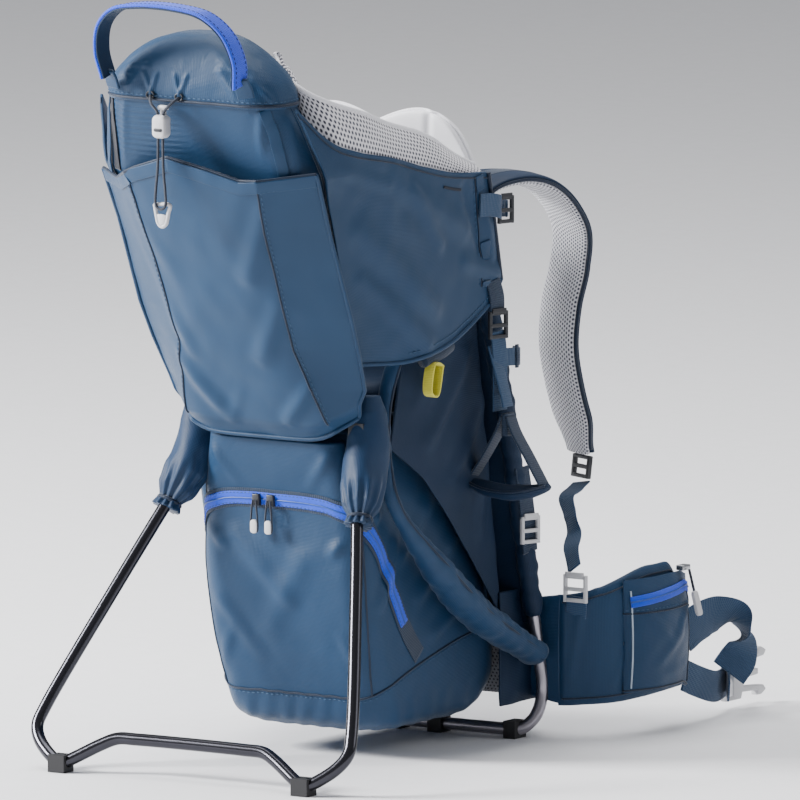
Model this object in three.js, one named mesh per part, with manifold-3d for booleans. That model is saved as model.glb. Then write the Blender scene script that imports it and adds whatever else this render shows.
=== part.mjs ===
// Framed baby carrier backpack with a fold-out kickstand.
// Millimetres. X is the wearer's right, Y the way the wearer faces and Z is up. The origin lies on
// the ground under the middle of the carrier.
import * as THREE from 'three';
import Module from 'manifold-3d';
import { mergeVertices } from 'three/addons/utils/BufferGeometryUtils.js';

const wasm = await Module();
wasm.setup();

// Driving dimensions.
const GAP = 0.5;               // clearance between touching pieces
const TUBE_RADIUS = 6;         // every frame tube
const GROUND_TUBE_Z = 8.2;     // centre of a tube that stands in a rubber foot
const FRAME_HALF_WIDTH = 122;
const FRAME_FOOT_Y = 87;       // back frame plane at the height below
const FRAME_FOOT_Z = 45;
const FRAME_LEAN = 0.21;       // the frame leans back by this much of its height
const FRAME_TOP_Z = 498;
const PIVOT = { x: 90, y: -175, z: 300 };        // kickstand hinge
const STAND_LEAN = THREE.MathUtils.degToRad(30.5);
const STAND_FOOT_X = 136;
const BASE_FOOT_X = 107;
const BASE_CLIP_X = 23;
const BAG_BOTTOM_Z = 26;
const BAG_TOP_Z = 308;
const POCKET_BOTTOM = { y: -216, z: 323 };       // outer face of the rear pocket
const POCKET_SLOPE = 0.47;     // it leans back by this much of its height
const POCKET_TOP_Z = 572;
const POCKET_THICK = 12;
const LID_SEAM_Z = 642;
const LID_REAR_Y = -341;
const DOME_TOP_Z = 708;
const WING_X = 129;            // outer face of the side wings
const WING_THICK = 5;
const STRAP_WIDTH = 62;
const STRAP_THICK = 14;
const FIN_THICK = 14;
const HANDLE_PIVOT = { y: -360, z: 664 };
const CORD_DIAMETER = 2.6;

const SIDES = [{ word: 'right', sign: 1 }, { word: 'left', sign: -1 }];

// Materials.
const FABRIC = { color: 0x3a5c7c, roughness: 0.75, metalness: 0 };
const DARK_FABRIC = { color: 0x22384f, roughness: 0.85, metalness: 0 };
const MESH_FABRIC = { color: 0xdad8e0, roughness: 0.9, metalness: 0 };
const ACCENT = { color: 0x2d73e1, roughness: 0.7, metalness: 0 };
const WEBBING = { color: 0x33506e, roughness: 0.85, metalness: 0 };
const STAND_TUBE = { color: 0x2d2d30, roughness: 0.28, metalness: 0.9 };
const BASE_TUBE = { color: 0x827d87, roughness: 0.35, metalness: 0.9 };
const DARK_PLASTIC = { color: 0x2b2f36, roughness: 0.5, metalness: 0 };
const PALE_PLASTIC = { color: 0xc8c6c8, roughness: 0.45, metalness: 0 };
const RUBBER = { color: 0x2a2a2c, roughness: 0.8, metalness: 0 };
const STEEL = { color: 0xa8a8ac, roughness: 0.3, metalness: 1 };
const YELLOW = { color: 0xded74b, roughness: 0.8, metalness: 0 };

const group = new THREE.Group();

function add(name, geometry, look, parent = group) {
  const mesh = new THREE.Mesh(geometry, new THREE.MeshStandardMaterial(look));
  mesh.name = name;
  parent.add(mesh);
  return mesh;
}

// ---- Shape helpers ----

const vec = (x, y, z) => new THREE.Vector3(x, y, z);
const mix = THREE.MathUtils.lerp;
const smooth = (t) => THREE.MathUtils.smoothstep(t, 0, 1);
const mirrored = (point, sign) => vec(point.x * sign, point.y, point.z);
const curveThrough = (points) => new THREE.CatmullRomCurve3(points, false, 'centripetal');

// A closed body from points and triangles, turned so that its faces point out.
function body(points, triangles) {
  let volume = 0;
  for (const [a, b, c] of triangles) {
    volume += points[a].dot(vec(0, 0, 0).crossVectors(points[b], points[c]));
  }
  const index = triangles.flatMap(([a, b, c]) => (volume > 0 ? [a, b, c] : [a, c, b]));
  const geometry = new THREE.BufferGeometry();
  const flat = points.flatMap((p) => [p.x, p.y, p.z]);
  geometry.setAttribute('position', new THREE.Float32BufferAttribute(flat, 3));
  geometry.setIndex(index);
  geometry.computeVertexNormals();
  return geometry;
}

// A body skinned over rings of equal length, with a flat fan at each end.
function loft(rings) {
  const count = rings[0].length;
  const triangles = [];
  for (let r = 0; r + 1 < rings.length; r += 1) {
    for (let i = 0; i < count; i += 1) {
      const a = r * count + i;
      const b = r * count + ((i + 1) % count);
      triangles.push([a, b, b + count], [a, b + count, a + count]);
    }
  }
  const last = (rings.length - 1) * count;
  for (let i = 1; i + 1 < count; i += 1) {
    triangles.push([0, i + 1, i], [last, last + i, last + i + 1]);
  }
  return body(rings.flat(), triangles);
}

// A closed thick sheet between an outer and an inner face, each a function of u and v from 0 to 1.
function sheet(outer, inner, across, along) {
  const faces = [outer, inner];
  const points = [];
  for (const face of faces) {
    for (let i = 0; i <= across; i += 1) {
      for (let j = 0; j <= along; j += 1) {
        points.push(face(i / across, j / along));
      }
    }
  }
  const at = (side, i, j) => (side * (across + 1) + i) * (along + 1) + j;
  const triangles = [];
  const quad = (a, b, c, d) => triangles.push([a, b, c], [a, c, d]);
  for (let i = 0; i < across; i += 1) {
    for (let j = 0; j < along; j += 1) {
      quad(at(0, i, j), at(0, i + 1, j), at(0, i + 1, j + 1), at(0, i, j + 1));
      quad(at(1, i, j), at(1, i, j + 1), at(1, i + 1, j + 1), at(1, i + 1, j));
    }
    quad(at(0, i, 0), at(1, i, 0), at(1, i + 1, 0), at(0, i + 1, 0));
    quad(at(0, i, along), at(0, i + 1, along), at(1, i + 1, along), at(1, i, along));
  }
  for (let j = 0; j < along; j += 1) {
    quad(at(0, 0, j), at(0, 0, j + 1), at(1, 0, j + 1), at(1, 0, j));
    quad(at(0, across, j), at(1, across, j), at(1, across, j + 1), at(0, across, j + 1));
  }
  return body(points, triangles);
}

// A strip swept along a path: the section's first number runs along side(t), its second along the
// normal of the strip.
function sweep(path, steps, section, side) {
  const rings = [];
  for (let i = 0; i <= steps; i += 1) {
    const t = i / steps;
    const centre = path.getPointAt(t);
    const along = path.getTangentAt(t);
    const wide = side(t).clone().addScaledVector(along, -side(t).dot(along)).normalize();
    const normal = vec(0, 0, 0).crossVectors(along, wide).normalize();
    rings.push(section.map(([a, b]) => centre.clone().addScaledVector(wide, a).addScaledVector(normal, b)));
  }
  return loft(rings);
}

const flatSection = (width, thick) => [
  [-width / 2, -thick / 2],
  [width / 2, -thick / 2],
  [width / 2, thick / 2],
  [-width / 2, thick / 2],
];

function paddedSection(width, thick) {
  const edge = thick * 0.4;
  return [
    [-width / 2, -thick / 4], [-width / 2 + edge, -thick / 2],
    [width / 2 - edge, -thick / 2], [width / 2, -thick / 4],
    [width / 2, thick / 4], [width / 2 - edge, thick / 2],
    [-width / 2 + edge, thick / 2], [-width / 2, thick / 4],
  ];
}

function polygon(radius, sides) {
  const shape = new THREE.Shape();
  for (let i = 0; i < sides; i += 1) {
    const angle = (2 * Math.PI * (i + 0.5)) / sides;
    const reach = radius / Math.cos(Math.PI / sides);
    shape[i === 0 ? 'moveTo' : 'lineTo'](reach * Math.cos(angle), reach * Math.sin(angle));
  }
  return shape;
}

function tube(path, radius, sides, steps) {
  return new THREE.ExtrudeGeometry(polygon(radius, sides), { steps, extrudePath: path, bevelEnabled: false });
}

function box(width, depth, height, x, y, z) {
  return new THREE.BoxGeometry(width, depth, height).translate(x, y, z);
}

// A cylinder whose axis runs along X.
function rodX(radius, length, x, y, z, sides = 20) {
  return new THREE.CylinderGeometry(radius, radius, length, sides).rotateZ(Math.PI / 2).translate(x, y, z);
}

// A flat outline in Y and Z, extruded along X about x.
function plateX(shape, thick, x) {
  const geometry = new THREE.ExtrudeGeometry(shape, { depth: thick, bevelEnabled: false, curveSegments: 6 });
  return geometry.rotateX(Math.PI / 2).rotateZ(Math.PI / 2).translate(x - thick / 2, 0, 0);
}

// A flat outline in X and Z, extruded along Y about y.
function plateY(shape, thick, y) {
  const geometry = new THREE.ExtrudeGeometry(shape, { depth: thick, bevelEnabled: false, curveSegments: 6 });
  return geometry.rotateX(Math.PI / 2).translate(0, y + thick / 2, 0);
}

// ---- Booleans ----

function toSolid(geometry) {
  const bare = geometry.clone();
  bare.deleteAttribute('normal');
  bare.deleteAttribute('uv');
  const merged = mergeVertices(bare, 1e-4);
  return new wasm.Manifold(new wasm.Mesh({
    numProp: 3,
    vertProperties: new Float32Array(merged.attributes.position.array),
    triVerts: new Uint32Array(merged.index.array),
  }));
}

function fromSolid(manifold) {
  const mesh = manifold.getMesh();
  const geometry = new THREE.BufferGeometry();
  geometry.setAttribute('position', new THREE.BufferAttribute(new Float32Array(mesh.vertProperties), 3));
  geometry.setIndex(new THREE.BufferAttribute(new Uint32Array(mesh.triVerts), 1));
  geometry.computeVertexNormals();
  return geometry;
}

function joined(...geometries) {
  return fromSolid(geometries.map(toSolid).reduce((all, next) => all.add(next)));
}

function cut(geometry, ...tools) {
  return fromSolid(tools.map(toSolid).reduce((left, tool) => left.subtract(tool), toSolid(geometry)));
}

// ---- Back frame, base bar and side struts ----

const frameY = (z) => FRAME_FOOT_Y - FRAME_LEAN * (z - FRAME_FOOT_Z);
const onFrame = (x, z) => vec(x, frameY(z), z);

function backFrame() {
  const half = [
    onFrame(FRAME_HALF_WIDTH, 82),
    onFrame(FRAME_HALF_WIDTH - 1, 180),
    onFrame(FRAME_HALF_WIDTH - 4, 300),
    onFrame(FRAME_HALF_WIDTH - 10, 420),
    onFrame(FRAME_HALF_WIDTH - 16, 470),
    onFrame(FRAME_HALF_WIDTH - 30, FRAME_TOP_Z - 6),
    onFrame(FRAME_HALF_WIDTH - 56, FRAME_TOP_Z),
  ];
  const other = half.map((point) => mirrored(point, -1)).reverse();
  add('back_frame', tube(curveThrough([...half, ...other]), TUBE_RADIUS, 10, 44), BASE_TUBE);
}

function baseBarPath() {
  const half = [
    onFrame(FRAME_HALF_WIDTH, 81),
    vec(FRAME_HALF_WIDTH + 1, 86, 45),
    vec(FRAME_HALF_WIDTH - 2, 78, 20),
    vec(BASE_FOOT_X + 4, 67, GROUND_TUBE_Z + 0.6),
    vec(BASE_FOOT_X - 6, 63, GROUND_TUBE_Z),
    vec(70, 61, GROUND_TUBE_Z),
    vec(BASE_CLIP_X, 60, GROUND_TUBE_Z),
  ];
  const other = half.map((point) => mirrored(point, -1)).reverse();
  return curveThrough([...half, ...other]);
}

// A rubber clip that wraps a tube and carries the load on its flat bottom at z = 0.
function rubberClip(wide, deep, x, y, path) {
  const block = box(wide, deep, 2 * GROUND_TUBE_Z, x, y, GROUND_TUBE_Z);
  return cut(block, tube(path, TUBE_RADIUS + GAP, 12, 44));
}

function baseBar() {
  const path = baseBarPath();
  add('base_bar', tube(path, TUBE_RADIUS, 10, 44), BASE_TUBE);
  for (const { word, sign } of SIDES) {
    add(`base_foot_${word}`, rubberClip(13, 20, sign * (BASE_FOOT_X - 2), 65, path), RUBBER);
    add(`base_clip_${word}`, rubberClip(15, 18, sign * BASE_CLIP_X, 60, path), RUBBER);
  }
}

// Each strut rises from the foot of the frame to the kickstand hinge, then up and forward to the
// top of the frame.
function strutPath(sign) {
  const points = [
    vec(FRAME_HALF_WIDTH + 4, 66, 82),
    vec(FRAME_HALF_WIDTH + 2, 20, 105),
    vec(FRAME_HALF_WIDTH - 1, -36, 137),
    vec(115, -97, 190),
    vec(104, -140, 243),
    vec(98, -150, 290),
    vec(98, -150, 340),
    vec(104, -132, 395),
    vec(106, -80, 440),
    vec(106, -28, 462),
  ];
  return curveThrough(points.map((point) => mirrored(point, sign)));
}

function sideStrut(word, sign) {
  add(`side_strut_${word}`, tube(strutPath(sign), TUBE_RADIUS, 8, 36), BASE_TUBE);
}

// ---- Kickstand and its hinges ----

const LUG_THICK = 7;
const CHEEK_RADIUS = 12;
const PIN_RADIUS = 3;
const STAND_STEPS = 64;

// A point of the kickstand: reach is measured down its sloping plane from the hinge.
const onStand = (x, reach) => vec(
  x,
  PIVOT.y - reach * Math.sin(STAND_LEAN),
  PIVOT.z - reach * Math.cos(STAND_LEAN),
);

function standPath() {
  const footReach = (PIVOT.z - GROUND_TUBE_Z) / Math.cos(STAND_LEAN);
  const half = [
    onStand(PIVOT.x, 17),
    onStand(PIVOT.x + 42, 150),
    onStand(PIVOT.x + 82, 286),
    onStand(PIVOT.x + 84, 303),
    onStand(PIVOT.x + 76, 318),
    onStand(STAND_FOOT_X + 8, footReach - 3),
    onStand(STAND_FOOT_X, footReach),
    onStand(STAND_FOOT_X - 9, footReach - 4),
    onStand(97, 316),
    onStand(82, 309),
    onStand(60, 308),
  ];
  const other = half.map((point) => mirrored(point, -1)).reverse();
  return curveThrough([...half, ...other]);
}

function kickstand() {
  const path = standPath();
  const bent = tube(path, TUBE_RADIUS, 10, STAND_STEPS);
  const ends = [];
  for (const { sign } of SIDES) {
    const neck = box(LUG_THICK, 12, 20, 0, 0, -10).rotateX(-STAND_LEAN);
    neck.translate(sign * PIVOT.x, PIVOT.y, PIVOT.z);
    const lug = rodX(10, LUG_THICK, sign * PIVOT.x, PIVOT.y, PIVOT.z);
    const bore = rodX(PIN_RADIUS + GAP, LUG_THICK + 4, sign * PIVOT.x, PIVOT.y, PIVOT.z);
    ends.push(cut(joined(neck, lug), bore));
  }
  add('kickstand_frame', joined(bent, ...ends), STAND_TUBE);
  const footY = onStand(0, (PIVOT.z - GROUND_TUBE_Z) / Math.cos(STAND_LEAN)).y;
  for (const { word, sign } of SIDES) {
    const block = box(18, 17, 2 * GROUND_TUBE_Z, sign * STAND_FOOT_X, footY, GROUND_TUBE_Z);
    add(`kickstand_foot_${word}`, cut(block, tube(path, TUBE_RADIUS + GAP, 12, STAND_STEPS)), RUBBER);
  }
}

// The fabric boot is gathered round the top of the leg.
function kickstandBoot(word, sign) {
  const rings = [];
  const ring = (reach, radius) => {
    const centre = onStand(PIVOT.x + reach * 0.29, reach);
    return Array.from({ length: 12 }, (_, i) => {
      const angle = (2 * Math.PI * i) / 12;
      return vec(
        sign * (centre.x + radius * Math.cos(angle)),
        centre.y + radius * Math.sin(angle),
        centre.z,
      );
    });
  };
  rings.push(ring(26, 12), ring(40, 13.5), ring(58, 13));
  const sleeve = loft(rings);
  add(`kickstand_boot_${word}`, cut(sleeve, tube(standPath(), TUBE_RADIUS + GAP, 12, STAND_STEPS)), DARK_FABRIC);
}

function hinge(word, sign) {
  const x = sign * PIVOT.x;
  const block = joined(
    rodX(CHEEK_RADIUS, 17, x, PIVOT.y, PIVOT.z),
    box(17, 2 * CHEEK_RADIUS, 28, x, PIVOT.y, PIVOT.z + 14),
    box(7, 10, 12, x + sign * 5, PIVOT.y + 12.5, PIVOT.z + 20),
  );
  const slot = box(LUG_THICK + 1.4, 40, 60, x, PIVOT.y, PIVOT.z - 18);
  const bore = rodX(PIN_RADIUS + GAP, 30, x, PIVOT.y, PIVOT.z);
  const strut = tube(strutPath(sign), TUBE_RADIUS + GAP, 8, 36);
  add(`hinge_block_${word}`, cut(block, slot, bore, strut), DARK_PLASTIC);
  const pin = joined(
    rodX(PIN_RADIUS, 18.6, x, PIVOT.y, PIVOT.z),
    rodX(PIN_RADIUS + 2, 2, x + sign * 10, PIVOT.y, PIVOT.z),
  );
  add(`hinge_pin_${word}`, pin, STEEL);
}

// ---- Luggage bag, rear compartment, pocket and lid ----

// A level ring with rounded corners.
function levelRing(z, halfWidth, rear, front, corner) {
  const centres = [
    [halfWidth - corner, rear + corner, -90],
    [halfWidth - corner, front - corner, 0],
    [-halfWidth + corner, front - corner, 90],
    [-halfWidth + corner, rear + corner, 180],
  ];
  const ring = [];
  for (const [x, y, start] of centres) {
    for (const step of [0, 30, 60, 90]) {
      const angle = THREE.MathUtils.degToRad(start + step);
      ring.push(vec(x + corner * Math.cos(angle), y + corner * Math.sin(angle), z));
    }
  }
  return ring;
}

function lowerBag() {
  const front = (z) => frameY(z) - 14;
  add('lower_bag', loft([
    levelRing(BAG_BOTTOM_Z, 80, -130, 34, 24),
    levelRing(BAG_BOTTOM_Z + 10, 90, -144, 46, 28),
    levelRing(82, 92, -159, front(82), 28),
    levelRing(181, 92, -178, front(181), 26),
    levelRing(241, 90, -182, front(241), 24),
    levelRing(280, 83, -194, front(280), 20),
    levelRing(BAG_TOP_Z, 74, -200, front(BAG_TOP_Z), 18),
  ]), FABRIC);
}

const pocketY = (z) => POCKET_BOTTOM.y - POCKET_SLOPE * (z - POCKET_BOTTOM.z);
const pocketHalf = (z) => mix(79, 119, smooth((z - 300) / 250));

// Heights and half widths of the compartment behind the child's back.
const COMPARTMENT = [[330, 76], [344, 86], [440, 101], [POCKET_TOP_Z, 113], [622, 102], [LID_SEAM_Z - GAP, 96]];
const COMPARTMENT_DEPTH = 66;

// Rear face of the compartment: under the pocket it follows it, above it runs up to the lid.
function compartmentRear(z) {
  const behindPocket = (height) => pocketY(height) + POCKET_THICK + 7;
  const above = (z - POCKET_TOP_Z) / (LID_SEAM_Z - POCKET_TOP_Z);
  return above <= 0 ? behindPocket(z) : mix(behindPocket(POCKET_TOP_Z), LID_REAR_Y, above);
}

function compartmentHalf(z) {
  const next = COMPARTMENT.findIndex(([height]) => height > z);
  if (next <= 0) {
    return COMPARTMENT.at(next)[1];
  }
  const [low, lowHalf] = COMPARTMENT[next - 1];
  const [high, highHalf] = COMPARTMENT[next];
  return mix(lowHalf, highHalf, (z - low) / (high - low));
}

function rearCompartment() {
  const ring = ([z, halfWidth]) => {
    const rear = compartmentRear(z);
    return levelRing(z, halfWidth, rear, rear + COMPARTMENT_DEPTH, 34);
  };
  add('rear_compartment', loft(COMPARTMENT.map(ring)), FABRIC);
}

function stretchPocket() {
  const at = (u, v) => {
    const z = mix(310, POCKET_TOP_Z + 16 * Math.sin(Math.PI * u), v);
    const side = Math.abs(2 * u - 1);
    return vec(mix(-1, 1, u) * pocketHalf(z), pocketY(z) + 20 * side ** 5, z);
  };
  const outer = (u, v) => {
    const point = at(u, v);
    const side = Math.abs(2 * u - 1);
    point.y -= mix(7, 9, v) * (1 - side ** 4);
    return point;
  };
  const inner = (u, v) => {
    const point = at(u, v);
    point.y += POCKET_THICK;
    return point;
  };
  add('stretch_pocket', sheet(outer, inner, 10, 7), FABRIC);
}

function topLid() {
  const ring = (z, halfWidth, rear, front) => levelRing(z, halfWidth, rear, front, 24);
  add('top_lid', loft([
    ring(LID_SEAM_Z, 96, -342, -272),
    ring(662, 94, -343, -274),
    ring(682, 85, -342, -277),
    ring(697, 70, -340, -281),
    ring(DOME_TOP_Z - 2, 48, -336, -286),
    ring(DOME_TOP_Z, 34, -334, -286),
  ]), FABRIC);
}

function headrestPad() {
  const thick = 16;
  const at = (u, v, forward) => {
    const z = mix(575, 700, v);
    const half = mix(92, 66, v * v);
    return vec(mix(-1, 1, u) * half, mix(-236, -264, v) + forward, z);
  };
  const outer = (u, v) => at(u, v, thick - 6 + 6 * Math.sin(Math.PI * u) * Math.sin(Math.PI * v));
  const inner = (u, v) => at(u, v, 0);
  add('headrest_pad', sheet(outer, inner, 8, 5), MESH_FABRIC);
}

// ---- Side wings, mesh collar, chin pad and seat ----

const wingBottom = new THREE.SplineCurve([
  new THREE.Vector2(-205, 386),
  new THREE.Vector2(-119, 386),
  new THREE.Vector2(-39, 409),
  new THREE.Vector2(4, 440),
]);
const wingTop = new THREE.SplineCurve([
  new THREE.Vector2(-318, 640),
  new THREE.Vector2(-272, 603),
  new THREE.Vector2(-177, 580),
  new THREE.Vector2(-92, 558),
  new THREE.Vector2(-18, 549),
]);

// Half width over the wings: they start on the compartment's sides and widen round the child.
function wingX(y, z) {
  const room = mix(2, 7, smooth((z - 540) / 40));
  const rearX = compartmentHalf(z) + WING_THICK + room;
  return mix(rearX, WING_X, smooth((y - compartmentRear(z) - 6) / 110));
}

function sideWing(word, sign) {
  const face = (u, v, thick) => {
    const low = wingBottom.getPoint(u);
    const high = wingTop.getPoint(u);
    const y = mix(low.x, high.x, v);
    const z = mix(low.y, high.y, v);
    return vec(sign * (wingX(y, z) - thick), y, z);
  };
  const outer = (u, v) => face(u, v, 0);
  const inner = (u, v) => face(u, v, WING_THICK);
  add(`side_wing_${word}`, sheet(outer, inner, 12, 6), FABRIC);
}

const collarLow = new THREE.SplineCurve([
  new THREE.Vector2(-322, 630),
  new THREE.Vector2(-272, 590),
  new THREE.Vector2(-177, 566),
  new THREE.Vector2(-22, 536),
]);
const collarHigh = new THREE.SplineCurve([
  new THREE.Vector2(-336, 672),
  new THREE.Vector2(-275, 645),
  new THREE.Vector2(-204, 621),
  new THREE.Vector2(-126, 599),
  new THREE.Vector2(-22, 560),
]);

function meshCollar(word, sign) {
  const thick = 4;
  const face = (u, v, inset) => {
    const low = collarLow.getPoint(u);
    const high = collarHigh.getPoint(u);
    const y = mix(low.x, high.x, v);
    const z = mix(low.y, high.y, v);
    const lean = 5 * v * smooth((u - 0.25) * 3);
    return vec(sign * (wingX(y, z) - WING_THICK - 1.5 - lean - inset), y, z);
  };
  add(`mesh_collar_${word}`, sheet((u, v) => face(u, v, 0), (u, v) => face(u, v, thick), 12, 3), MESH_FABRIC);
}

function chinPad() {
  const thick = 12;
  const face = (u, v, back) => {
    const x = mix(-110, 110, u);
    const top = 586 + 14 * Math.sin(2 * Math.PI * Math.abs(u - 0.5) + 0.2) - 40 * Math.abs(2 * u - 1) ** 6;
    return vec(x, mix(2, -4, v) - back, mix(514, top, v));
  };
  add('chin_pad', sheet((u, v) => face(u, v, 0), (u, v) => face(u, v, thick), 12, 3), MESH_FABRIC);
}

function childSeat() {
  add('child_seat', loft([
    levelRing(330, 62, -122, -16, 20),
    levelRing(338, 70, -130, -8, 24),
    levelRing(350, 70, -130, -8, 24),
    levelRing(358, 60, -120, -18, 20),
  ]), DARK_FABRIC);
}

// ---- Back pad, lumbar pad and shoulder harness ----

const padRearY = (z) => frameY(z) + TUBE_RADIUS + 1;
const BACK_PAD_THICK = 20;

function backPads() {
  const pad = (halfWidth, low, high, thick) => {
    const face = (u, v, forward) => {
      const z = mix(low, high, v);
      return vec(mix(-1, 1, u) * halfWidth, padRearY(z) + forward, z);
    };
    const crown = (u, v) => thick - 5 + 5 * Math.sin(Math.PI * u) * Math.sin(Math.PI * v);
    return sheet((u, v) => face(u, v, crown(u, v)), (u, v) => face(u, v, 0), 6, 6);
  };
  add('back_pad', pad(100, 136, 470, BACK_PAD_THICK), MESH_FABRIC);
  add('lumbar_pad', pad(106, 36, 130, 28), MESH_FABRIC);
}

function shoulderYoke() {
  const thick = 12;
  const face = (u, v, forward) => {
    const z = mix(420, 489, v);
    const half = mix(46, 78, v);
    return vec(mix(-1, 1, u) * half, padRearY(z) + BACK_PAD_THICK + 1 + forward, z);
  };
  add('shoulder_yoke', sheet((u, v) => face(u, v, thick), (u, v) => face(u, v, 0), 4, 3), DARK_FABRIC);
}

function strapPath(sign) {
  const points = [
    vec(58, 26, 502),
    vec(66, 46, 523),
    vec(80, 84, 530),
    vec(92, 120, 522),
    vec(98, 153, 499),
    vec(100, 172, 470),
    vec(100, 168, 438),
    vec(101, 152, 402),
    vec(103, 144, 365),
    vec(106, 150, 326),
    vec(110, 162, 286),
    vec(112, 169, 262),
  ];
  return curveThrough(points.map((point) => mirrored(point, sign)));
}

// The straps turn to lie on the wearer's chest.
const strapSide = (sign) => (t) => {
  const turn = THREE.MathUtils.degToRad(mix(0, 24, smooth(t * 2.4)));
  return vec(Math.cos(turn), -sign * Math.sin(turn), 0);
};

function shoulderStrap(word, sign) {
  const path = strapPath(sign);
  const geometry = sweep(path, 26, paddedSection(STRAP_WIDTH, STRAP_THICK), strapSide(sign));
  add(`shoulder_strap_${word}`, geometry, FABRIC);
  const lock = new THREE.Shape();
  lock.moveTo(-14, -11);
  lock.lineTo(14, -11);
  lock.lineTo(14, 11);
  lock.lineTo(-14, 11);
  lock.closePath();
  for (const middle of [-4.6, 4.6]) {
    const slit = new THREE.Path();
    slit.moveTo(-10, middle - 2.6);
    slit.lineTo(-10, middle + 2.6);
    slit.lineTo(10, middle + 2.6);
    slit.lineTo(10, middle - 2.6);
    slit.closePath();
    lock.holes.push(slit);
  }
  const frame = plateY(lock, 5, 0).rotateX(-0.12).rotateZ(-sign * 0.4).translate(sign * 113.5, 169, 247);
  add(`strap_lock_${word}`, frame, DARK_PLASTIC);
}

// Webbing from each strap lock down to its anchor on the frame.
function strapWebbing(word, sign) {
  const points = [
    vec(115, 166, 232),
    vec(117, 152, 228),
    vec(122, 130, 222),
    vec(131, 121, 208),
    vec(138, 116, 193),
    vec(149, 96, 179),
    vec(159, 85, 163),
  ];
  const path = curveThrough(points.map((point) => mirrored(point, sign)));
  const side = () => vec(0.92, -sign * 0.4, 0);
  add(`strap_webbing_${word}`, sweep(path, 18, flatSection(19, 2), side), WEBBING);
  add(`webbing_anchor_${word}`, box(26, 8, 26, sign * 161, 84, 144), PALE_PLASTIC);
}

// ---- Hip belt ----

function finPath(sign) {
  const points = [
    vec(138, 90, 88),
    vec(153, 97, 90),
    vec(173, 114, 93),
    vec(184, 145, 95),
    vec(187, 185, 96),
    vec(184, 236, 96),
  ];
  return curveThrough(points.map((point) => mirrored(point, sign)));
}

// A point beside the belt fin: out is measured outward from its middle, z is the height.
function besideFin(path, sign, t, out, z) {
  const centre = path.getPointAt(t);
  const along = path.getTangentAt(t);
  const outward = vec(along.y, -along.x, 0).normalize().multiplyScalar(sign);
  return vec(centre.x + outward.x * out, centre.y + outward.y * out, z);
}

function hipFin(word, sign) {
  const path = finPath(sign);
  const face = (u, v, out) => {
    const low = mix(30, 36, u);
    const high = mix(136, 158, smooth(u * 1.6)) - 26 * smooth((u - 0.8) / 0.2);
    return besideFin(path, sign, u, out * (0.55 + 0.45 * Math.sin(Math.PI * v)), mix(low, high, v));
  };
  const half = FIN_THICK / 2;
  add(`hip_fin_${word}`, sheet((u, v) => face(u, v, half), (u, v) => face(u, v, -half), 12, 5), FABRIC);
}

const HIP_POCKET = { start: 0.34, end: 0.96, low: 42, high: 149 };

function hipPocket() {
  const path = finPath(1);
  const base = FIN_THICK / 2 + GAP;
  const at = (u, v, out) => besideFin(path, 1, mix(HIP_POCKET.start, HIP_POCKET.end, u), out,
    mix(HIP_POCKET.low, HIP_POCKET.high, v));
  const swell = (u, v) => 5 + 14 * Math.sin(Math.PI * u) ** 0.5 * Math.cos(Math.PI * 0.4 * (v - 0.45) * 2);
  add('hip_pocket', sheet((u, v) => at(u, v, base + Math.max(swell(u, v), 3)), (u, v) => at(u, v, base), 10, 6), FABRIC);
}

function hipZip() {
  const y = 212;
  const sliderZ = HIP_POCKET.high + GAP + 2.5;
  add('hip_zip_slider', box(9, 13, 5, 200, y, sliderZ), STEEL);
  const pull = box(2.4, 8, 44, 0, 0, -22.5).rotateY(-0.27).translate(206.6, y, sliderZ - 1);
  add('hip_zip_pull', pull, PALE_PLASTIC);
}

function hipWebbing(word, sign) {
  const points = [
    vec(184, 240, 84),
    vec(188, 272, 87),
    vec(194, 305, 88),
    vec(198, 322, 72),
    vec(196, 316, 52),
    vec(190, 305, 38),
  ];
  const path = curveThrough(points.map((point) => mirrored(point, sign)));
  const side = (t) => vec(0, mix(0, -1, Math.sin(Math.PI * t) ** 2), mix(1, 0.35, Math.sin(Math.PI * t) ** 2));
  add(`hip_webbing_${word}`, sweep(path, 20, flatSection(40, 2.5), side), WEBBING);
}

// Side-release buckle at the end of the belt, its outline in Y and Z.
const BUCKLE = { x: 178, rear: 318, z: 31, half: 23 };

function outline(points) {
  const shape = new THREE.Shape();
  points.forEach(([a, b], i) => shape[i === 0 ? 'moveTo' : 'lineTo'](a, b));
  shape.closePath();
  return shape;
}

function hole(points) {
  const path = new THREE.Path();
  points.forEach(([a, b], i) => path[i === 0 ? 'moveTo' : 'lineTo'](a, b));
  path.closePath();
  return path;
}

function buckleMale() {
  const { x, rear, z, half } = BUCKLE;
  const prong = (s) => [
    [rear + 66, z + s * (half - 9)], [rear + 70, z + s * (half - 4)], [rear + 62, z + s * half],
    [rear + 54, z + s * half], [rear + 55, z + s * (half - 5)], [rear + 28, z + s * (half - 6)],
  ];
  const upper = prong(1);
  const lower = prong(-1).reverse();
  const shape = outline([
    [rear, z - half], [rear + 26, z - half], ...lower,
    [rear + 30, z - half + 12], [rear + 30, z - 4], [rear + 56, z - 3],
    [rear + 56, z + 3], [rear + 30, z + 4], [rear + 30, z + half - 12],
    ...upper, [rear + 26, z + half], [rear, z + half],
  ]);
  shape.holes.push(hole([
    [rear + 5, z - half + 4], [rear + 5, z + half - 4],
    [rear + 12, z + half - 4], [rear + 12, z - half + 4],
  ]));
  add('buckle_male', plateX(shape, 8, x), PALE_PLASTIC);
}

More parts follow.
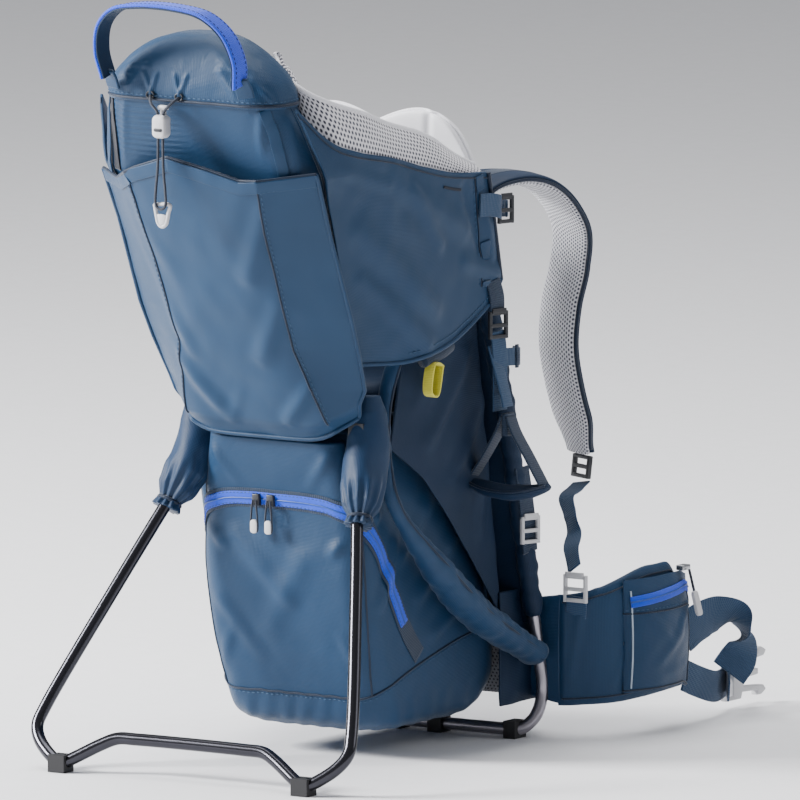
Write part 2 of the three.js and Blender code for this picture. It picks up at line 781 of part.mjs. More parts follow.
function buckleFemale() {
  const { x, rear, z, half } = BUCKLE;
  const shape = outline([
    [rear, z - half], [rear + 48, z - half - 1], [rear + 50, z - half + 3],
    [rear + 50, z + half - 3], [rear + 48, z + half + 1], [rear, z + half],
  ]);
  shape.holes.push(hole([
    [rear + 5, z - half + 4], [rear + 5, z + half - 4],
    [rear + 12, z + half - 4], [rear + 12, z - half + 4],
  ]));
  const mouth = box(7, 34, 2 * half - 8, -x, rear + 50 - 15, z);
  add('buckle_female', cut(plateX(shape, 13, -x), mouth), PALE_PLASTIC);
}

// ---- Foot stirrups ----

const STIRRUP = { x: 145, y: -9, z: 322, half: 46, drop: 75 };

function stirrup(word, sign) {
  const { x, y, z, half, drop } = STIRRUP;
  const centre = sign * x;
  const shape = outline([
    [centre - 8, z], [centre - 8, z - 14], [centre - half, z - drop + 10], [centre - half, z - drop],
    [centre + half, z - drop], [centre + half, z - drop + 10], [centre + 8, z - 14], [centre + 8, z],
  ]);
  shape.holes.push(hole([
    [centre, z - 17], [centre - half + 14, z - drop + 11], [centre + half - 14, z - drop + 11],
  ]));
  add(`stirrup_${word}`, plateY(shape, 18, y), WEBBING);
}

// ---- Grab handle, drawcord and zips ----

function grabHandle() {
  const half = [
    vec(74, HANDLE_PIVOT.y, HANDLE_PIVOT.z),
    vec(77, -366, 688),
    vec(69, -374, 714),
    vec(50, -380, 731),
    vec(22, -383, 737),
  ];
  const other = half.map((point) => mirrored(point, -1)).reverse();
  const side = () => vec(0, 1, 0);
  const path = curveThrough([...half, ...other]);
  add('grab_handle', sweep(path, 28, paddedSection(22, 5), side), ACCENT);
}

const LOCK = { x: -19, y: -351.5, z: 619, wide: 16, deep: 12, high: 22 };
const PULL_Z = 541;

// The drawcord leaves the lid seam, runs down through the lock, round the pull and back up.
function drawcordPath() {
  const { x, y, z } = LOCK;
  const down = [
    vec(x - 16, -344.5, 647),
    vec(x - 15, -347.5, 645.5),
    vec(x - 10.5, y - 1.5, 640),
    vec(x - 4, y - 1.5, z + 14),
    vec(x - 2.6, y - 1.5, z + 8),
    vec(x - 2.6, y - 1.5, z - 6),
    vec(x - 2.8, y - 1.5, z - 30),
    vec(x - 3.6, y - 1.5, z - 45),
    vec(x - 5.2, y - 1.5, z - 60),
    vec(x - 5.6, y - 1.5, PULL_Z + 5.6),
    vec(x - 4, y - 1.5, PULL_Z + 1.6),
  ];
  const up = down.map((point) => vec(2 * x - point.x, point.y, point.z)).reverse();
  return curveThrough([...down, vec(x, y - 1.5, PULL_Z), ...up]);
}

function drawcord() {
  const { x, y, z, wide, deep, high } = LOCK;
  add('drawcord', tube(drawcordPath(), CORD_DIAMETER / 2, 8, 76), DARK_PLASTIC);
  const slot = box(9.6, 4.2, high + 4, x, y - 1.5, z);
  const well = box(9, 4, 16, x, y + 3.3, z + high / 2 - 5);
  add('cord_lock', cut(box(wide, deep, high, x, y - 0.2, z), slot, well), PALE_PLASTIC);
  const stem = box(8, 3.2, 10, x, y + 3.3, z + high / 2);
  add('cord_lock_button', stem, PALE_PLASTIC);
  const pull = outline([
    [x - 11, PULL_Z + 6], [x + 11, PULL_Z + 6], [x + 4, PULL_Z - 18], [x - 4, PULL_Z - 18],
  ]);
  pull.holes.push(hole([
    [x - 7.4, PULL_Z + 2.8], [x - 7.4, PULL_Z - 2.6], [x + 7.4, PULL_Z - 2.6], [x + 7.4, PULL_Z + 2.8],
  ]));
  add('cord_pull', plateY(pull, 2.4, y - 1.5 + CORD_DIAMETER / 2 + 1.2 + GAP), PALE_PLASTIC);
}

const BAG_ZIP_Z = 248;
const BAG_ZIP_Y = -190;

function bagZips() {
  for (const { word, sign } of SIDES) {
    const x = -11 + sign * 8;
    add(`bag_zip_slider_${word}`, box(8, 5, 11, x, BAG_ZIP_Y, BAG_ZIP_Z), STEEL);
    const loop = outline([
      [x - 3.5, BAG_ZIP_Z + 1], [x - 4.5, BAG_ZIP_Z - 30], [x + 4.5, BAG_ZIP_Z - 30], [x + 3.5, BAG_ZIP_Z + 1],
    ]);
    loop.holes.push(hole([
      [x - 1.6, BAG_ZIP_Z - 3], [x + 1.6, BAG_ZIP_Z - 3], [x + 2.4, BAG_ZIP_Z - 27.5], [x - 2.4, BAG_ZIP_Z - 27.5],
    ]));
    add(`bag_zip_pull_${word}`, plateY(loop, 2, BAG_ZIP_Y - 4.2), PALE_PLASTIC);
  }
}

function yellowPull() {
  const shape = outline([[-106, 377], [-113, 350], [-101, 347], [-92, 374]]);
  add('yellow_pull', plateX(shape, 4, 122), YELLOW);
}

// ---- Assembly ----

backFrame();
baseBar();
kickstand();
lowerBag();
rearCompartment();
stretchPocket();
topLid();
headrestPad();
chinPad();
childSeat();
backPads();
shoulderYoke();
hipPocket();
hipZip();
buckleMale();
buckleFemale();
grabHandle();
drawcord();
bagZips();
yellowPull();
for (const { word, sign } of SIDES) {
  sideStrut(word, sign);
  hinge(word, sign);
  kickstandBoot(word, sign);
  sideWing(word, sign);
  meshCollar(word, sign);
  shoulderStrap(word, sign);
  strapWebbing(word, sign);
  hipFin(word, sign);
  hipWebbing(word, sign);
  stirrup(word, sign);
}

export default group;
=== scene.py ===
"""Framed baby carrier backpack: the looks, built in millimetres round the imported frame."""
import math
import bmesh
import bpy
import numpy as np
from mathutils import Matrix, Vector, noise


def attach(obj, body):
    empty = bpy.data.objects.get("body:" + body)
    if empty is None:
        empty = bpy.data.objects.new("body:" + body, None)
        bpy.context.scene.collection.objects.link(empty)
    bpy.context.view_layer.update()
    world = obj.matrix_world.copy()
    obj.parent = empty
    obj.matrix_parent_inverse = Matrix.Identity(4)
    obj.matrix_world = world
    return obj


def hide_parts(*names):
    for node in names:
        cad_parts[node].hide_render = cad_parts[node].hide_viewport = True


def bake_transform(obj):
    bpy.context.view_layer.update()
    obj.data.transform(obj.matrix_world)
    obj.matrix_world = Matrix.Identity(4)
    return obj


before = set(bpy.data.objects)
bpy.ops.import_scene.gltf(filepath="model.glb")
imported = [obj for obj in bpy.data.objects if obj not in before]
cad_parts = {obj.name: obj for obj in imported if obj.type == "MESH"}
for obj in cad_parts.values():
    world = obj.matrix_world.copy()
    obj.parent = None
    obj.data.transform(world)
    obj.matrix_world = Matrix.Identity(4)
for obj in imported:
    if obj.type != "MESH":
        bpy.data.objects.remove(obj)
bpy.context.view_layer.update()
MM = 0.001
SIDES = (("right", 1), ("left", -1))
X_AXIS = (1, 0, 0)
Y_AXIS = (0, 1, 0)
Z_AXIS = (0, 0, 1)


# ---- Camera, floor and lights ----

VIEW_AZIMUTH = math.radians(33)
VIEW_ELEVATION = math.radians(8)
VIEW_DISTANCE = 30.0
VIEW_WIDTH = 0.755
VIEW_CENTRE = Vector((0.0, 0.028, 0.318))
FLOOR_REACH = 16000
FLOOR_Z = -0.3


def aim(obj, place, target):
    obj.location = place
    obj.rotation_euler = (target - place).to_track_quat("-Z", "Y").to_euler()


def make_camera():
    camera = bpy.data.objects.new("camera", bpy.data.cameras.new("camera"))
    bpy.context.scene.collection.objects.link(camera)
    level = math.cos(VIEW_ELEVATION)
    east, south = math.sin(VIEW_AZIMUTH) * level, math.cos(VIEW_AZIMUTH) * level
    away = Vector((east, -south, math.sin(VIEW_ELEVATION)))
    aim(camera, VIEW_CENTRE + away * VIEW_DISTANCE, VIEW_CENTRE)
    camera.data.lens = camera.data.sensor_width * VIEW_DISTANCE / VIEW_WIDTH
    camera.data.clip_end = 120
    bpy.context.scene.camera = camera


def make_light(name, place, size, power):
    data = bpy.data.lights.new(name, "AREA")
    data.size = size
    data.energy = power
    light = bpy.data.objects.new(name, data)
    bpy.context.scene.collection.objects.link(light)
    aim(light, Vector(place), Vector((0, 0, 0.35)))


def make_stage():
    world = bpy.data.worlds.new("studio")
    bpy.context.scene.world = world
    world.use_nodes = True
    world.node_tree.nodes["Background"].inputs["Color"].default_value = (0.93, 0.95, 1.0, 1)
    world.node_tree.nodes["Background"].inputs["Strength"].default_value = 0.3
    make_light("key", (-3.0, -2.3, 2.1), 1.2, 520)
    make_light("side", (3.0, 1.4, 1.8), 1.6, 26)
    make_light("top", (-0.4, 0.3, 3.4), 2.6, 150)
    ends = (-FLOOR_REACH, FLOOR_REACH)
    corners = np.array([[(x, y, FLOOR_Z) for y in ends] for x in ends], float)
    add_mesh("floor", *grid_faces(corners), plain("floor", (0.95, 0.95, 0.96), 0.9))


# ---- Curves and mesh building; every shape is an array of points in millimetres ----

def curve(points, count):
    """Evenly spaced points of the centripetal Catmull-Rom curve through the given ones."""
    knots = np.array(points, float)
    first = 2 * knots[0] - knots[1]
    last = 2 * knots[-1] - knots[-2]
    knots = np.vstack([first, knots, last])
    dense = []
    for a, b, c, d in zip(knots, knots[1:], knots[2:], knots[3:]):
        roots = [max(np.linalg.norm(q - p), 1e-6) ** 0.5 for p, q in ((a, b), (b, c), (c, d))]
        t0, t1, t2, t3 = np.cumsum([0] + roots)
        t = np.linspace(t1, t2, 24, endpoint=False)[:, None]
        a1 = (t1 - t) / (t1 - t0) * a + (t - t0) / (t1 - t0) * b
        a2 = (t2 - t) / (t2 - t1) * b + (t - t1) / (t2 - t1) * c
        a3 = (t3 - t) / (t3 - t2) * c + (t - t2) / (t3 - t2) * d
        b1 = (t2 - t) / (t2 - t0) * a1 + (t - t0) / (t2 - t0) * a2
        b2 = (t3 - t) / (t3 - t1) * a2 + (t - t1) / (t3 - t1) * a3
        dense.append((t2 - t) / (t2 - t1) * b1 + (t - t1) / (t2 - t1) * b2)
    dense = np.vstack(dense + [knots[-2][None]])
    return resample(dense, count)


def resample(points, count):
    points = np.asarray(points, float)
    run = np.concatenate([[0], np.cumsum(np.linalg.norm(np.diff(points, axis=0), axis=1))])
    at = np.linspace(0, run[-1], count)
    return np.stack([np.interp(at, run, points[:, k]) for k in range(points.shape[1])], axis=1)


def unit(vectors):
    return vectors / np.maximum(np.linalg.norm(vectors, axis=-1, keepdims=True), 1e-9)


def axes(first, columns, rows):
    """Shares across a grid, from first to 1, and up it, from 0 to 1, that broadcast together."""
    return np.linspace(first, 1, columns)[:, None], np.linspace(0, 1, rows)[None]


def mirror(points, sign):
    out = np.array(points, float)
    out[..., 0] *= sign
    return out


def smooth(t):
    t = np.clip(t, 0, 1)
    return t * t * (3 - 2 * t)


def bump(t, middle, width):
    return np.exp(-((t - middle) / width) ** 2)


def signed_power(values, power):
    """Squares off a round section: a power of the size of each value, with its sign kept."""
    return np.sign(values) * np.abs(values) ** power


def lumps(points, size, seed=0.0):
    """Soft noise at each point of an array, about -1 to 1."""
    flat = np.asarray(points, float).reshape(-1, 3) / size
    values = [noise.noise(Vector((p[0] + seed, p[1] - seed, p[2] + 2 * seed))) for p in flat]
    return np.array(values).reshape(np.asarray(points).shape[:-1])


def add_mesh(name, points, faces, uvs, material):
    mesh = bpy.data.meshes.new(name)
    mesh.from_pydata((np.asarray(points) * MM).tolist(), [], faces)
    layer = mesh.uv_layers.new(name="metres")
    loops = np.empty(len(mesh.loops), np.int32)
    mesh.loops.foreach_get("vertex_index", loops)
    layer.data.foreach_set("uv", (np.asarray(uvs)[loops] * MM).astype(np.float32).ravel())
    mesh.polygons.foreach_set("use_smooth", [True] * len(mesh.polygons))
    mesh.materials.append(material)
    mesh.update()
    obj = bpy.data.objects.new(name, mesh)
    bpy.context.scene.collection.objects.link(obj)
    return obj


def grid_uv(grid):
    across = np.linalg.norm(np.diff(grid, axis=0), axis=2).mean(axis=1)
    along = np.linalg.norm(np.diff(grid, axis=1), axis=2).mean(axis=0)
    u = np.concatenate([[0], np.cumsum(across)])
    v = np.concatenate([[0], np.cumsum(along)])
    return np.stack(np.meshgrid(u, v, indexing="ij"), axis=2).reshape(-1, 2)


def grid_faces(grid):
    """Points, faces and map of a grid of points."""
    rows, cols = grid.shape[:2]
    faces = []
    for i in range(rows - 1):
        for j in range(cols - 1):
            a = i * cols + j
            faces.append((a, a + cols, a + cols + 1, a + 1))
    return grid.reshape(-1, 3), faces, grid_uv(grid)


def normals_of(grid):
    du = np.gradient(grid, axis=0)
    dv = np.gradient(grid, axis=1)
    return unit(np.cross(du, dv))


def shell(name, grid, thick, material, inward=None):
    """A closed sheet of cloth or foam: the grid is its outer face, and its edge is rounded."""
    grid = np.asarray(grid, float)
    normal = normals_of(grid)
    if inward is not None and np.mean(np.sum(normal * inward, axis=2)) > 0:
        normal = -normal
    rows, cols = grid.shape[:2]
    inner = grid - normal * thick
    size = rows * cols
    outer, outer_faces, uv = grid_faces(grid)
    points = np.vstack([outer, inner.reshape(-1, 3)])
    faces = []
    for a, b, c, d in outer_faces:
        faces.append((a, b, c, d))
        faces.append((a + size, d + size, c + size, b + size))
    rim = [(i, 0) for i in range(rows)] + [(rows - 1, j) for j in range(1, cols)]
    rim += [(i, cols - 1) for i in range(rows - 2, -1, -1)] + [(0, j) for j in range(cols - 2, 0, -1)]
    ids = [i * cols + j for i, j in rim]
    for a, b in zip(ids, ids[1:] + ids[:1]):
        faces.append((b, a, a + size, b + size))
    obj = add_mesh(name, points, faces, np.vstack([uv, uv]), material)
    edited(obj, face_outward)
    return obj


def edited(obj, change):
    """Runs change(work) on an edit copy of a piece's mesh and stores the result."""
    work = bmesh.new()
    work.from_mesh(obj.data)
    change(work)
    work.to_mesh(obj.data)
    work.free()


def face_outward(work):
    bmesh.ops.recalc_face_normals(work, faces=work.faces)
    if work.calc_volume(signed=True) < 0:
        bmesh.ops.reverse_faces(work, faces=work.faces)


def around(sides):
    """Angles round a circle, and the points of a circle of radius 1 at them."""
    angle = np.linspace(0, 2 * math.pi, sides, endpoint=False)
    return angle, np.stack([np.cos(angle), np.sin(angle)], axis=1)


def tube(name, path, radius, material, sides=20, side=Z_AXIS):
    """A round rod along a path. radius may be an array, one number for each point."""
    _, section = around(sides)
    radius = np.broadcast_to(np.asarray(radius, float), len(path))
    return sweep(name, path, section[None] * radius[:, None, None], material, side)


def carried(path, side):
    """Tangent, side and normal along a path; side is a start direction carried without twist."""
    tangent = unit(np.gradient(path, axis=0))
    across = np.empty_like(path)
    guide = np.array(side, float)
    for k, way in enumerate(tangent):
        guide = guide - way * guide.dot(way)
        guide = guide / max(np.linalg.norm(guide), 1e-9)
        across[k] = guide
    return tangent, across, np.cross(tangent, across)


def held(path, side):
    """The same, with side kept as close as possible to a fixed direction or to one for each point."""
    tangent = unit(np.gradient(path, axis=0))
    across = np.broadcast_to(np.asarray(side, float), path.shape)
    across = unit(across - tangent * np.sum(across * tangent, axis=1, keepdims=True))
    return tangent, across, np.cross(tangent, across)


def sweep(name, path, sections, material, side, fixed=False):
    path = np.asarray(path, float)
    sections = np.broadcast_to(np.asarray(sections, float), (len(path),) + np.shape(sections)[-2:])
    _, across, normal = held(path, side) if fixed else carried(path, side)
    grid = (
        path[:, None]
        + across[:, None] * sections[:, :, 0:1]
        + normal[:, None] * sections[:, :, 1:2]
    )
    return lofted(name, grid, material)


def lofted(name, rings, material):
    """Skins rings of points, the first axis along the piece, and closes both ends."""
    count = rings.shape[1]
    joined = np.concatenate([rings, rings[:, :1]], axis=1)
    uv = grid_uv(joined).reshape(joined.shape[:2] + (2,))
    ends = np.stack([rings[0].mean(axis=0), rings[-1].mean(axis=0)])
    points = np.vstack([joined.reshape(-1, 3), ends])
    stride = count + 1
    faces = []
    for i in range(len(rings) - 1):
        for j in range(count):
            a = i * stride + j
            faces.append((a, a + 1, a + 1 + stride, a + stride))
    first, last = len(points) - 2, len(points) - 1
    base = (len(rings) - 1) * stride
    for j in range(count):
        faces.append((first, j + 1, j))
        faces.append((last, base + j, base + j + 1))
    uvs = np.vstack([uv.reshape(-1, 2), uv[0, :1], uv[-1, :1]])
    obj = add_mesh(name, points, faces, uvs, material)
    edited(obj, weld)
    edited(obj, face_outward)
    return obj


def weld(work):
    bmesh.ops.remove_doubles(work, verts=work.verts, dist=1e-6)


def rounded(width, thick, corner=None, steps=4):
    """A flat section with round corners, for webbing and padded straps."""
    corner = min(width, thick) * 0.49 if corner is None else corner
    points = []
    for cx, cy, start in ((1, 1, 0), (-1, 1, 90), (-1, -1, 180), (1, -1, 270)):
        for k in range(steps + 1):
            a = math.radians(start + 90 * k / steps)
            x = cx * (width / 2 - corner) + corner * math.cos(a)
            points.append((x, cy * (thick / 2 - corner) + corner * math.sin(a)))
    return np.array(points)


def webbing(name, path, width, thick, material, side):
    return sweep(name, path, rounded(width, thick), material, side, fixed=True)


def put(obj, body, *nodes, slot, fill=None):
    """Gives a piece its body and hides the CAD nodes that it stands for; slot and fill are not used."""
    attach(obj, body)
    if nodes:
        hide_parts(*nodes)
    return obj


def merge(name, objects):
    """Joins several meshes of one material into one piece."""
    with bpy.context.temp_override(
        active_object=objects[0], selected_objects=objects, selected_editable_objects=objects
    ):
        bpy.ops.object.join()
    objects[0].name = name
    objects[0].data.name = name
    return objects[0]


# ---- Materials; pattern coordinates are the pieces' own UVs, in metres ----

def linear(colour):
    return tuple(c / 12.92 if c <= 0.04045 else ((c + 0.055) / 1.055) ** 2.4 for c in colour) + (1.0,)


def rgb(red, green, blue):
    return (red / 255, green / 255, blue / 255)


def toned_by(colour, factor):
    """A linear colour made lighter or darker."""
    return tuple(min(c * factor, 1.0) for c in colour[:3]) + (1.0,)


def new_material(name, roughness, metallic=0.0, sheen=0.0):
    """An empty node material; nylon with a sheen gets a duller mirror gloss."""
    material = bpy.data.materials.new(name)
    material.use_nodes = True
    tree = material.node_tree
    shader = tree.nodes["Principled BSDF"]
    shader.inputs["Roughness"].default_value = roughness
    shader.inputs["Metallic"].default_value = metallic
    shader.inputs["Sheen Weight"].default_value = sheen
    shader.inputs["Specular IOR Level"].default_value = 0.3 if sheen else 0.5
    return material, tree, shader


def node(tree, kind, **values):
    made = tree.nodes.new(kind)
    for key, value in values.items():
        if key in made.inputs:
            made.inputs[key].default_value = value
        else:
            setattr(made, key, value)
    return made


def math_node(tree, operation, *values):
    made = tree.nodes.new("ShaderNodeMath")
    made.operation = operation
    for k, value in enumerate(values):
        if isinstance(value, (int, float)):
            made.inputs[k].default_value = value
        else:
            tree.links.new(value, made.inputs[k])
    return made.outputs[0]


def noise_node(tree, scale, detail, vector=None):
    made = node(tree, "ShaderNodeTexNoise", Scale=scale, Detail=detail)
    source = vector or node(tree, "ShaderNodeTexCoord").outputs["Object"]
    tree.links.new(source, made.inputs["Vector"])
    return made.outputs["Fac"]


def mix_colours(tree, factor, first, second):
    made = tree.nodes.new("ShaderNodeMix")
    made.data_type = "RGBA"
    tree.links.new(factor, made.inputs["Factor"])
    for socket, value in ((made.inputs[6], first), (made.inputs[7], second)):
        if isinstance(value, tuple):
            socket.default_value = value
        else:
            tree.links.new(value, socket)
    return made.outputs[2]


def add_bump(tree, shader, height, strength, distance):
    made = node(tree, "ShaderNodeBump", Strength=strength, Distance=distance)
    tree.links.new(height, made.inputs["Height"])
    tree.links.new(made.outputs["Normal"], shader.inputs["Normal"])


def uv_axes(tree):
    split = tree.nodes.new("ShaderNodeSeparateXYZ")
    tree.links.new(node(tree, "ShaderNodeUVMap", uv_map="metres").outputs["UV"], split.inputs[0])
    return split.outputs["X"], split.outputs["Y"]


def wave_of(tree, axis, pitch):
    """A sine along one axis, 0 to 1, with its pitch in metres."""
    angle = math_node(tree, "MULTIPLY", axis, 2 * math.pi / pitch)
    return math_node(tree, "MULTIPLY_ADD", math_node(tree, "SINE", angle), 0.5, 0.5)


def plain(name, colour, roughness, grain=0.03):
    """Smooth moulded or painted stuff, with faint mottling and a fine surface grain."""
    material, tree, shader = new_material(name, roughness)
    base = linear(colour)
    mottled = mix_colours(tree, noise_node(tree, 55, 4), base, toned_by(base, 1 - 2.2 * grain))
    tree.links.new(mottled, shader.inputs["Base Color"])
    add_bump(tree, shader, noise_node(tree, 1400, 2), 0.12, 0.0002)
    return material


def woven(name, colour, sheen, pitch=0.0013, roughness=0.47, depth=0.35, tone_and_shade=0.2):
    """Woven nylon: crossing threads in relief, with painted shade in the grooves between them, and broad
    uneven shading.
    """
    material, tree, shader = new_material(name, roughness, 0.0, sheen)
    shader.inputs["Sheen Roughness"].default_value = 0.35
    u, v = uv_axes(tree)
    threads = math_node(tree, "MULTIPLY", wave_of(tree, u, pitch), wave_of(tree, v, pitch))
    base = linear(colour)
    broad = mix_colours(tree, noise_node(tree, 9, 5), toned_by(base, 1 - tone_and_shade), toned_by(base, 1 + tone_and_shade))
    # painted shade: a darker colour laid in the grooves between the threads, where the relief is low
    shade = toned_by(base, 1 - 1.3 * tone_and_shade)
    fine = mix_colours(tree, math_node(tree, "MULTIPLY", threads, 0.6), shade, broad)
    share = math_node(tree, "ADD", math_node(tree, "MULTIPLY", threads, 0.7), 0.35)
    tree.links.new(mix_colours(tree, share, fine, broad), shader.inputs["Base Color"])
    relief = math_node(tree, "ADD", threads, math_node(tree, "MULTIPLY", noise_node(tree, 160, 3), 0.8))
    add_bump(tree, shader, relief, depth, 0.0006)
    return material


def meshed(name, colour, hole_shade, pitch, size=0.26):
    """Spacer mesh: pale knit with staggered oval holes sunk into it, each hole filled with a dark colour as
    painted shade.
    """
    material, tree, shader = new_material(name, 0.6, 0.0, 0.3)
    u, v = uv_axes(tree)
    rows = math_node(tree, "DIVIDE", v, pitch * 0.8)
    odd = math_node(tree, "MODULO", math_node(tree, "FLOOR", rows), 2.0)
    shift = math_node(tree, "MULTIPLY", odd, 0.5)
    across = math_node(tree, "ADD", math_node(tree, "DIVIDE", u, pitch), shift)
    x = math_node(tree, "SUBTRACT", math_node(tree, "FRACT", across), 0.5)
    y = math_node(tree, "MULTIPLY", math_node(tree, "SUBTRACT", math_node(tree, "FRACT", rows), 0.5), 0.85)
    far = math_node(tree, "ADD", math_node(tree, "MULTIPLY", x, x), math_node(tree, "MULTIPLY", y, y))
    limits = {"From Min": (size * 0.7) ** 2, "From Max": (size * 1.25) ** 2}
    edge = node(tree, "ShaderNodeMapRange", **limits)
    tree.links.new(far, edge.inputs["Value"])
    pale = linear(colour)
    knit = mix_colours(tree, noise_node(tree, 240, 3), pale, toned_by(pale, 0.88))
    # painted shade: the dark colour fills each sunk hole
    tree.links.new(mix_colours(tree, edge.outputs[0], linear(hole_shade), knit), shader.inputs["Base Color"])
    add_bump(tree, shader, edge.outputs[0], 0.7, 0.0012)
    return material


def ribbed(name, colour, pitch=0.0021):
    """Flat webbing: ribs across it and rows of yarn along it, with painted shade in the grooves between
    them.
    """
    material, tree, shader = new_material(name, 0.62, 0.0, 0.2)
    u, v = uv_axes(tree)
    ribs = wave_of(tree, u, pitch)
    yarns = wave_of(tree, v, pitch * 0.8)
    relief = math_node(tree, "ADD", ribs, math_node(tree, "MULTIPLY", yarns, 0.6))
    base = linear(colour)
    # painted shade: dark is laid where the ribs and yarns are low, in the grooves
    dark = toned_by(base, 0.72)
    toned = mix_colours(tree, math_node(tree, "MULTIPLY", relief, 0.6), dark, base)
    worn = tuple(min(c * 1.12 + 0.004, 1.0) for c in base[:3]) + (1.0,)
    tree.links.new(mix_colours(tree, noise_node(tree, 30, 4), toned, worn), shader.inputs["Base Color"])
    add_bump(tree, shader, relief, 0.5, 0.0006)
    return material


def metal(name, colour, roughness):
    """Bright or anodised tube with fine drawing marks along it."""
    material, tree, shader = new_material(name, roughness, 0.9)
    base = linear(colour)
    toned = mix_colours(tree, noise_node(tree, 26, 4), base, toned_by(base, 0.8))
    tree.links.new(toned, shader.inputs["Base Color"])
    u, v = uv_axes(tree)
    stretched = tree.nodes.new("ShaderNodeCombineXYZ")
    tree.links.new(math_node(tree, "MULTIPLY", u, 14), stretched.inputs[0])
    tree.links.new(math_node(tree, "MULTIPLY", v, 900), stretched.inputs[1])
    marks = noise_node(tree, 1.0, 3, stretched.outputs[0])
    limits = {"To Min": roughness - 0.06, "To Max": roughness + 0.06}
    spread = node(tree, "ShaderNodeMapRange", **limits)
    tree.links.new(marks, spread.inputs["Value"])
    tree.links.new(spread.outputs[0], shader.inputs["Roughness"])
    return material


FABRIC = woven("slate_fabric", rgb(13, 54, 88), sheen=0.13)
# The main navy fabric darkened to its shade colour: painted shade, used on pieces that sit in recesses and
# on the wearer's side, away from the lamps.
SHADED_FABRIC = woven("shaded_navy_fabric", rgb(8, 36, 64), pitch=0.0015, roughness=0.6, sheen=0.03)
STRETCH = woven("stretch_fabric", rgb(14, 56, 90), pitch=0.0009, sheen=0.15, depth=0.2)
BOOT_CLOTH = woven("boot_fabric", rgb(17, 48, 80), sheen=0.1)
# Near-black cloth laid along the side slit under the lid's flap: painted shade inside the slit.
SLIT_SHADE_CLOTH = woven("painted_slit_shade", rgb(20, 24, 34), pitch=0.0016, sheen=0.2)
# The second colour of each mesh is painted shade in its holes.
MESH = meshed("white_mesh", rgb(230, 228, 234), rgb(54, 56, 72), pitch=0.0052, size=0.29)
FINE_MESH = meshed("strap_mesh", rgb(226, 225, 231), rgb(52, 56, 74), pitch=0.0040, size=0.3)
DARK_MESH = meshed("back_mesh", rgb(150, 152, 160), rgb(46, 48, 58), pitch=0.0042)
PALE_PAD = woven("pale_pad", rgb(224, 224, 229), pitch=0.0010, sheen=0.3, depth=0.15, tone_and_shade=0.06)
ACCENT = ribbed("blue_webbing", rgb(0, 62, 205), pitch=0.0018)
ACCENT_LIGHT = ribbed("blue_zip_tape", rgb(0, 68, 210), pitch=0.0012)
YELLOW = ribbed("yellow_webbing", rgb(222, 214, 72), pitch=0.0016)
WEBBING = ribbed("slate_webbing", rgb(28, 60, 92))
DARK_WEBBING = ribbed("dark_webbing", rgb(16, 38, 62))
CORD = ribbed("dark_cord", rgb(34, 40, 54), pitch=0.0015)
STAND_METAL = metal("black_chrome", rgb(62, 62, 68), 0.2)
BASE_METAL = metal("silver_tube", rgb(166, 162, 170), 0.3)
STEEL = metal("steel", rgb(180, 182, 186), 0.28)
DARK_PLASTIC = plain("dark_plastic", rgb(34, 36, 42), 0.42)
PALE_PLASTIC = plain("pale_plastic", rgb(198, 198, 201), 0.45)
RUBBER = plain("rubber", rgb(30, 30, 33), 0.72, grain=0.06)
THREAD = plain("tonal_thread", rgb(44, 76, 108), 0.7)
# Pale piping colour: painted highlight along the hip pocket's end nearer the frame, where the light catches
# it.
EDGE_HIGHLIGHT = plain("painted_edge_highlight", rgb(168, 184, 200), 0.5)
DARK_THREAD = plain("dark_thread", rgb(22, 28, 42), 0.75)
PIPING = woven("dark_piping", rgb(18, 34, 56), pitch=0.0012, sheen=0.2)
BLUE_TEETH = plain("zip_teeth", rgb(28, 70, 150), 0.4)


# ---- Routes and faces shared with the CAD frame, in millimetres ----

TUBE_RADIUS = 6
PIVOT = (90, -175, 300)
STAND_LEAN = math.radians(30.5)
STAND_REACH = (PIVOT[2] - 8.2) / math.cos(STAND_LEAN)
WING_X = 129
POCKET_TOP_Z = 572
LID_SEAM_Z = 642
LID_REAR_Y = -341
LOCK = (-19, -351.5, 619)
PULL_Z = 541


def frame_y(z):
    return 87 - 0.21 * (z - 45)


def mixed(a, b, t):
    return a + (b - a) * t


def both(half):
    """A route on the right with its mirror image, as one route across the middle."""
    half = np.array(half, float)
    return np.vstack([half, mirror(half, -1)[::-1]])


def stand_point(x, reach):
    return x, PIVOT[1] - reach * math.sin(STAND_LEAN), PIVOT[2] - reach * math.cos(STAND_LEAN)


def back_frame_route():
    half = [(122, 82), (121, 180), (118, 300), (112, 420), (106, 470), (92, 492), (66, 498)]
    return both([(x, frame_y(z), z) for x, z in half])


def base_bar_route():
    half = [(122, frame_y(81), 81), (123, 86, 45), (120, 78, 20)]
    half += [(111, 67, 8.8), (101, 63, 8.2), (70, 61, 8.2), (23, 60, 8.2)]
    return both(half)


def strut_route(sign):
    points = [
        (126, 66, 82), (124, 20, 105), (121, -36, 137), (115, -97, 190), (104, -140, 243),
        (98, -150, 290), (98, -150, 340), (104, -132, 395), (106, -80, 440), (106, -28, 462),
    ]
    return mirror(points, sign)


def stand_route():
    foot = STAND_REACH
    half = [
        (90, 17), (132, 150), (172, foot - 52.6), (174, foot - 35.6), (166, foot - 20.6),
        (144, foot - 3), (136, foot), (127, foot - 4), (97, foot - 22.6), (82, foot - 29.6),
        (60, foot - 30.6),
    ]
    return both([stand_point(x, reach) for x, reach in half])


def pocket_y(z):
    return -216 - 0.47 * (z - 323)


COMPARTMENT_Z = (330, 344, 440, POCKET_TOP_Z, 622, LID_SEAM_Z)
COMPARTMENT_HALF = (76, 86, 101, 113, 102, 96)


